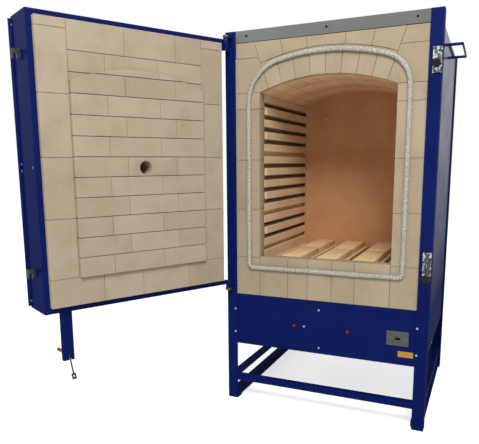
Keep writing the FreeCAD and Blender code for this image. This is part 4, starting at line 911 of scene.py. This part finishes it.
def top_corner(x, radius):
    """Centre of the arc that touches a side run and the arch."""
    return x, ARCH_Z + math.sqrt((ROPE_ARCH - radius) ** 2 - (x - MIDDLE) ** 2)


def bearing(centre):
    """The direction of a point from the arch's centre, in degrees."""
    return math.degrees(math.atan2(centre[1] - ARCH_Z, centre[0] - MIDDLE))


left_top = top_corner(ROPE_LEFT + TOP_LEFT, TOP_LEFT)
right_top = top_corner(ROPE_RIGHT - TOP_RIGHT, TOP_RIGHT)
left_low = (ROPE_LEFT + LOW_CORNER, ROPE_LOW + LOW_CORNER)
right_low = (ROPE_RIGHT - LOW_CORNER, ROPE_LOW + LOW_CORNER)
loop = np.concatenate(
    [
        arc(left_low, LOW_CORNER, 270, 180),
        straight((ROPE_LEFT, left_low[1]), (ROPE_LEFT, left_top[1])),
        arc(left_top, TOP_LEFT, 180, bearing(left_top)),
        arc((MIDDLE, ARCH_Z), ROPE_ARCH, bearing(left_top), bearing(right_top)),
        arc(right_top, TOP_RIGHT, bearing(right_top), 0),
        straight((ROPE_RIGHT, right_top[1]), (ROPE_RIGHT, right_low[1])),
        arc(right_low, LOW_CORNER, 0, -90),
        straight((right_low[0], ROPE_LOW), (left_low[0], ROPE_LOW)),
    ]
)


STRANDS = 7
ROPE_LAY = 0.017
ROPE_GIRTH = 0.06
ROPE_DIP = 0.11


def braid(loop_points, around=40):
    """An oval carried along the loop. Its size dips where two families of strands, winding opposite
    ways, leave a gap between them: one minus the product of their sines. Its width bulges by two slow
    sines of the distance along the loop and frays by a quick one."""
    ahead_of = unit(np.roll(loop_points, -1, axis=0) - np.roll(loop_points, 1, axis=0))
    out = np.stack([ahead_of[:, 1], -ahead_of[:, 0]], -1)
    distance = np.cumsum(np.linalg.norm(loop_points - np.roll(loop_points, 1, axis=0), axis=1))
    turns = round(distance[-1] * MM / ROPE_LAY)
    twist = (2 * np.pi * turns * distance / distance[-1])[:, None]
    angle = full_circle(around)
    weave = np.sin(STRANDS * angle + twist) * np.sin(STRANDS * angle - twist)
    dip = 1.0 - ROPE_DIP * (0.5 + 0.5 * weave)
    bulge = 0.35 * np.sin(distance / 61.0) + 0.25 * np.sin(distance / 23.0)
    fray = 0.6 * np.sin(distance / 4.7 + 2.0 * np.sin(distance / 17.0))
    width = (ROPE_HALF_WIDTH - 1.2) * dip * np.cos(angle) + bulge[:, None] + fray[:, None] * np.cos(angle)
    x = loop_points[:, 0:1] + out[:, 0:1] * width
    z = loop_points[:, 1:2] + out[:, 1:2] * width
    y = ROPE_Y + ROPE_HALF_DEPTH * dip * np.sin(angle)
    return np.stack([x, y + 0 * x, z], -1), distance[-1]


yarn = Finish("glass_rope")
along = yarn.add("ShaderNodeUVMap", {"uv_map": "along"})
lengthwise = yarn.add("ShaderNodeMapping", {}, {"Vector": along, "Scale": (240.0, 160.0, 1.0)})
threads = yarn.cloud(1.0, 3.0, 0.6, lengthwise)
grime = yarn.cloud(11.0, 4.0, 0.6)
around = yarn.add("ShaderNodeSeparateXYZ", {}, {"Vector": along}, "X")
winding = around * (2 * math.pi * STRANDS / ROPE_GIRTH)
running = around.other("Y") * (2 * math.pi / ROPE_LAY)
gaps = 0.5 + 0.5 * (winding + running).wave() * (winding - running).wave()
# Painted shade: the gaps between the strands and the flecks between the threads are painted dark. The slow
# patches are grime.
painted_shade_and_grime = yarn.step(gaps, 0.4, 0.9) * 0.2 + yarn.step(threads, 0.46, 0.56) * 0.65
painted_shade_and_grime = painted_shade_and_grime + yarn.step(grime, 0.3, 0.75) * 0.15
rope_white = yarn.coat(
    Base_Color=yarn.blend(painted_shade_and_grime, colour(200, 198, 187), colour(92, 87, 75)),
    Roughness=0.92,
    Normal=yarn.relief(threads - gaps, 0.0016, 0.8),
)
rows, rope_length = braid(loop)
rope = Surface()
rope.add(rows, looped=True, size=(ROPE_GIRTH, rope_length * MM))
rope.settle("braided_rope", rope_white, "kiln_body", "fibre", "rope_seal", crease=70.0)

# Door casing
# A welded steel pan on two pin hinges, with a cover sheet that laps its free side.
HINGE = (18.6, -29.7, 0.0)
DOOR_TURN = -117.3


def turned(points, centre, axis, degrees):
    """Points turned round a line: p cos a + (k x p) sin a + k (k . p)(1 - cos a) about the centre."""
    p = np.asarray(points, float) - centre
    k = np.asarray(axis, float)
    c = math.cos(math.radians(degrees))
    s = math.sin(math.radians(degrees))
    return p * c + np.cross(k, p) * s + (p @ k)[:, None] * k * (1 - c) + centre


def on_door(points):
    """Points of the shut door, swung open round the hinge pins."""
    return in_kiln(turned(points, HINGE, (0.0, 0.0, 1.0), DOOR_TURN))


coated(blue, "door_frame", "door_cover", "door_leg", "door_knuckles")
coated(zinc, "door_catches", width=0.0005)

DOOR_SIDE = 889.0
SIDE_SCREWS = ((-185.0, 1144.0), (-185.0, 1118.0), (-54.0, 1131.0), (-185.0, 607.0), (-185.0, 1650.0))
side_screws = Surface()
for number, (y, z) in enumerate(SIDE_SCREWS):
    head = screw_head(0.0, z, 0.0, turn=0.4 + 0.9 * number)
    head = np.stack([DOOR_SIDE - head[..., 1], y + head[..., 0], head[..., 2]], -1)
    side_screws.add(head, tone=0.25, place=on_door)
side_screws.settle("door_screws_detail", screw_steel, "door", "zinc", "door_screws")

# Door bricks
# A border of long bricks round a field in eleven courses. The field's arched middle stands proud
# as the plug, and a round spy hole is drilled through it.
DOOR_BACK = -126.0
DOOR_FACE = -12.0
PLUG_FACE = 3.0
DOOR_LEFT = 55.0
DOOR_RIGHT = 867.0
DOOR_LOW = 602.0
DOOR_TOP = 1658.0
FIELD_LEFT = 165.0
FIELD_RIGHT = 753.0
FIELD_LOW = 711.0
COURSE = 76.4
COURSES = 11
BED_GAP = 0.5
FIELD_TOP = FIELD_LOW + COURSE * COURSES
PLUG_LEFT = 166.5
PLUG_RIGHT = 753.5
PLUG_LOW = 711.5
PLUG_RADIUS = 769.0
SPY = (454.0, 1126.5)
SPY_RADIUS = 27.5

washed = firebrick("door_firebrick", colour(171, 157, 136), colour(159, 144, 122), colour(143, 125, 98))
border = Surface()
faces = [block(x0, x1, FIELD_TOP, DOOR_TOP) for x0, x1 in pairs((FIELD_LEFT, 293.0, 524.0, FIELD_RIGHT))]
low_joints = (DOOR_LEFT, 250.0, 476.0, 651.0, DOOR_RIGHT)
faces += [block(x0, x1, DOOR_LOW, FIELD_LOW) for x0, x1 in pairs(low_joints)]
for z0, z1 in pairs((FIELD_LOW, 939.0, 1167.0, 1395.0, 1623.0, DOOR_TOP)):
    faces += [block(DOOR_LEFT, FIELD_LEFT, z0, z1), block(FIELD_RIGHT, DOOR_RIGHT, z0, z1)]
for face in faces:
    lay(border, face, DOOR_BACK, DOOR_FACE, on_door)
border.settle("door_border_detail", washed, "door", "firebrick", "door_border_bricks")


def plug_height(x):
    """How high the plug's arch reaches: the centre's height plus the root of the radius squared less
    the distance squared."""
    return ARCH_Z + np.sqrt(PLUG_RADIUS**2 - (np.asarray(x) - MIDDLE) ** 2)


def proud_part(x0, x1, z0, z1, least=4.0, pace=20.0, clear=8.0):
    """The part of a brick's face inside the arched plug, or None where nothing stands proud. It ends
    where the arch leaves less than the least height of it."""
    x0 = max(x0, PLUG_LEFT)
    x1 = min(x1, PLUG_RIGHT)
    z0 = max(z0, PLUG_LOW)
    reach = math.sqrt(max(PLUG_RADIUS**2 - (z0 + least - ARCH_Z) ** 2, 0.0))
    x0 = max(x0, MIDDLE - reach)
    x1 = min(x1, MIDDLE + reach)
    if x1 - x0 < least or z0 + least > ARCH_Z + PLUG_RADIUS:
        return None
    if min(plug_height(x0), plug_height(x1)) >= z1:
        return block(x0, x1, z0, z1)
    arch_x = np.arange(math.ceil(x0 / pace) * pace + clear, x1 - clear, pace)
    flat_reach = math.sqrt(max(PLUG_RADIUS**2 - (z1 - ARCH_Z) ** 2, 0.0))
    flat_ends = [x for x in (MIDDLE - flat_reach, MIDDLE + flat_reach) if x0 < x < x1]
    arch_x = np.unique([x0, x1, *arch_x, *flat_ends])
    top = [(x, min(z1, z)) for x, z in zip(arch_x.tolist(), plug_height(arch_x).tolist())]
    return [(x0, z0), (x1, z0), *top[::-1]]


def bored_rows(corners, near, far, centre, radius, flare=2.4):
    """A brick with a round hole: its rounded outline goes from near to far, then the rows step in to
    a circle, come back along the bore and flare out to the front face, where they meet the first."""
    sides = brick_rows(corners, near, far, BRICK_EASE, HALF_JOINT, spacing=4.0, worn=False)
    angle = np.arctan2(sides[0][:, 2] - centre[1], sides[0][:, 0] - centre[0])
    mouth = ((far, 1.0), (far - 0.7, 0.3), (far - flare, 0.0))
    depth, out = np.array([*mouth, (far - 40.0, 0.0), (near + 1.0, 0.0), (near, 1.0)]).T[:, :, None]
    size = radius + flare * out
    hole = beside(centre[0], 0.0, centre[1], size * np.cos(angle), -depth, size * np.sin(angle))
    return np.concatenate([sides, hole])


field = Surface()
for course in range(COURSES):
    z0 = FIELD_LOW + COURSE * course + BED_GAP
    z1 = FIELD_LOW + COURSE * (course + 1) - BED_GAP
    joints = (304.0, 533.0) if course % 2 else (380.0, 609.0)
    for x0, x1 in pairs((FIELD_LEFT, *joints, FIELD_RIGHT)):
        tone = rng.uniform(0.0, 1.0)
        proud = proud_part(x0, x1, z0, z1)
        if x0 < SPY[0] < x1 and z0 < SPY[1] < z1:
            rows = bored_rows(proud, DOOR_BACK, PLUG_FACE, SPY, SPY_RADIUS)
            field.add(rows, tone=tone, looped=True, place=on_door)
        elif proud is not None and len(proud) == 4:
            lay(field, proud, DOOR_BACK, PLUG_FACE, on_door, tone=tone)
        else:
            lay(field, block(x0, x1, z0, z1), DOOR_BACK, DOOR_FACE, on_door, tone=tone)
            if proud is not None:
                lay(field, proud, DOOR_FACE - 5.0, PLUG_FACE, on_door, ease=2.0, tone=tone)
field.settle("door_field_detail", washed, "door", "firebrick", "door_field_bricks")

# Spy hole bung
# A tapered fireclay stopper with a rounded head, pushed in from outside.
BUNG_END = -200.0
STOPPER = ((25.6, -89.9), (27.1, -88.2), (27.2, 0.3))
STOPPER_HEAD = ((33.0, 0.4), (35.2, 1.6), (36.0, 4.2), (36.0, 19.0), (34.8, 22.4), (32.0, 24.0), (4.0, 24.2))
bung = Surface()
profile = STOPPER + STOPPER_HEAD
bung.add(turned_shape(profile, SPY[0], BUNG_END, SPY[1], around=64), place=on_door)
bung.settle("fireclay_bung", baked, "bung", "firebrick", "spy_bung")


# Latches
# A swing bolt with a rolled thread hangs from each zinc plate, with a washer and a star knob.
LATCH_X = 909.0
LATCH_Y = -22.0
LATCH_DROOP = 22.0


def drooped(height):
    """Gives the turn that lets a level latch droop about its pivot, then places it on the kiln."""

    def placed(points):
        return in_kiln(turned(points, (LATCH_X, LATCH_Y, height), (1.0, 0.0, 0.0), LATCH_DROOP))

    return placed


def threaded(height, start, end, radius=5.0, pitch=2.0, depth=0.55, plain=14.0, around=24):
    """A bar whose radius falls by the thread's depth wherever the run along it and the way round it
    differ by half a pitch. The first stretch is plain and the last one tapers."""
    reach = np.linspace(start, end, int((end - start) / pitch * 5))[:, None]
    angle = full_circle(around)
    phase = reach / pitch * 2 * np.pi - angle
    cut = depth * np.clip((reach - start - plain) / 2.0, 0.0, 1.0)
    size = radius - cut * (0.5 - 0.5 * np.cos(phase))
    size = size * (1.0 - 0.25 * np.clip((reach - end + 1.5) / 1.5, 0.0, 1.0))
    return beside(LATCH_X, LATCH_Y, height, size * np.cos(angle), reach, size * np.sin(angle))


def star(height, start=93.6, thick=14.0, hub=5.0, edge=2.6, lobes=7, around=112):
    """A knob whose radius swells by the cosine of seven times the angle, sharpened by a power, and
    whose top and bottom edges are rounded by a quarter circle."""
    angle = full_circle(around)
    swell = 13.4 + 4.5 * (0.5 + 0.5 * np.cos(lobes * angle)) ** 0.7
    quarter = np.linspace(0.0, np.pi / 2, 5)
    base = start + hub
    top = base + thick
    rows = [(start, 8.4), (start + 0.5, 9.0), (base - 0.4, 9.0), (base, 10.5)]
    rows += [(base + edge * (1 - math.cos(q)) * 0.6, swell - edge * (1 - math.sin(q))) for q in quarter]
    rows += [(top - edge * (1 - math.sin(q)), swell - edge * (1 - math.cos(q))) for q in quarter]
    rows += [(top, 9.5), (top - 0.9, 8.6), (top - 1.0, 2.0)]
    return [
        beside(LATCH_X, LATCH_Y, height, size * np.sin(angle), reach, size * np.cos(angle))
        for reach, size in rows
    ]


def neck(height, start=7.0, end=16.6, half_width=3.7, half_height=4.95, around=32):
    """The flat forged part between eye and shank: a circle's cosine and sine raised to a low power,
    which squares it, stretched to the neck's width and height."""
    angle = full_circle(around)
    reach = np.array([start, end - 1.0, end])[:, None]
    size = np.array([1.0, 1.0, 0.86])[:, None]
    across = size * half_width * np.sign(np.cos(angle)) * np.abs(np.cos(angle)) ** 0.3
    up = size * half_height * np.sign(np.sin(angle)) * np.abs(np.sin(angle)) ** 0.3
    return beside(LATCH_X, LATCH_Y, height, across, reach, up)


EYE = ((6.0, -3.7), (4.4, -3.7), (4.4, 3.7), (6.0, 3.7), (8.4, 3.7), (9.0, 3.1), (9.0, -3.1), (8.4, -3.7))


def eye(height, around=40):
    """The ring round the pivot: its cut face, each point a radius and a place to the side, turned."""
    radius, side = np.array(EYE).T
    turn = full_circle(around)[:, None]
    return beside(LATCH_X, LATCH_Y, height, side, -radius * np.cos(turn), radius * np.sin(turn))


for latch, height in (("upper", 1533.0), ("lower", 728.0)):
    bolt = Surface()
    bolt.add(neck(height), place=drooped(height))
    bolt.add(threaded(height, 16.0, 107.0), place=drooped(height))
    bolt.add(eye(height), looped=True, place=drooped(height))
    name = f"{latch}_threaded_bolt"
    bolt.settle(name, zinc, f"{latch}_bolt", "zinc", f"{latch}_swing_bolt", crease=50.0)
    coated(zinc, f"{latch}_latch_washer", width=0.0004)
    knob = Surface()
    knob.add(star(height), place=drooped(height))
    name = f"{latch}_seven_lobe_knob"
    knob.settle(name, dark, f"{latch}_knob", "dark_plastic", f"{latch}_star_knob", crease=50.0)

# Interlock lever
# A bent round rod with a flat key at its short end and a moulded red grip at its long one.
LEVER = (797.5, -56.0, 397.5)
ARM_SAG = 5.0
COLLAR = ((3.4, 60.0), (6.6, 60.2), (7.6, 61.4), (7.9, 64.0))
WAIST = ((7.2, 72.0), (7.0, 84.0), (7.4, 98.0), (7.95, 110.0), (8.0, 117.0))
TIP = ((7.2, 122.0), (5.2, 124.4), (2.4, 125.0), (0.4, 125.0))
steel = patchy("worn_steel", (120.0, 4.0, 0.7), (34, 34, 34), (72, 72, 70), rough=0.4, Metallic=0.8)
coated(steel, "interlock_lever", width=0.0004)
red = patchy(
    "red_moulding",
    (50.0, 4.0, 0.6),
    (116, 8, 16),
    (148, 18, 26),
    rough=0.3,
    relief=(0.0001, 0.3),
    Specular_IOR_Level=0.2,
)


def sagged(points):
    """Points of a level grip, let down with the lever's arm and swung out with the door."""
    return on_door(turned(points, LEVER, (1.0, 0.0, 0.0), ARM_SAG))


size, reach = np.array(COLLAR + WAIST + TIP).T[:, :, None]
angle = full_circle(40)
finger = size * (1.0 - 0.03 * (0.5 + 0.5 * np.cos(8 * angle)))
grip = Surface()
grip.add(beside(*LEVER, finger * np.cos(angle), reach, -finger * np.sin(angle)), place=sagged)
grip.settle("moulded_grip", red, "lever", "red_plastic", "lever_grip")

# Supply gland
# A dark moulded cable gland in the lower right of the rear panel.
coated(dark, "supply_gland", width=0.0006)


def plain(box_corners):
    """A box's two corners as lists of numbers."""
    return [list(map(float, corner)) for corner in box_corners]


{"cad": plain(cad_box), "visual": plain(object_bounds())}
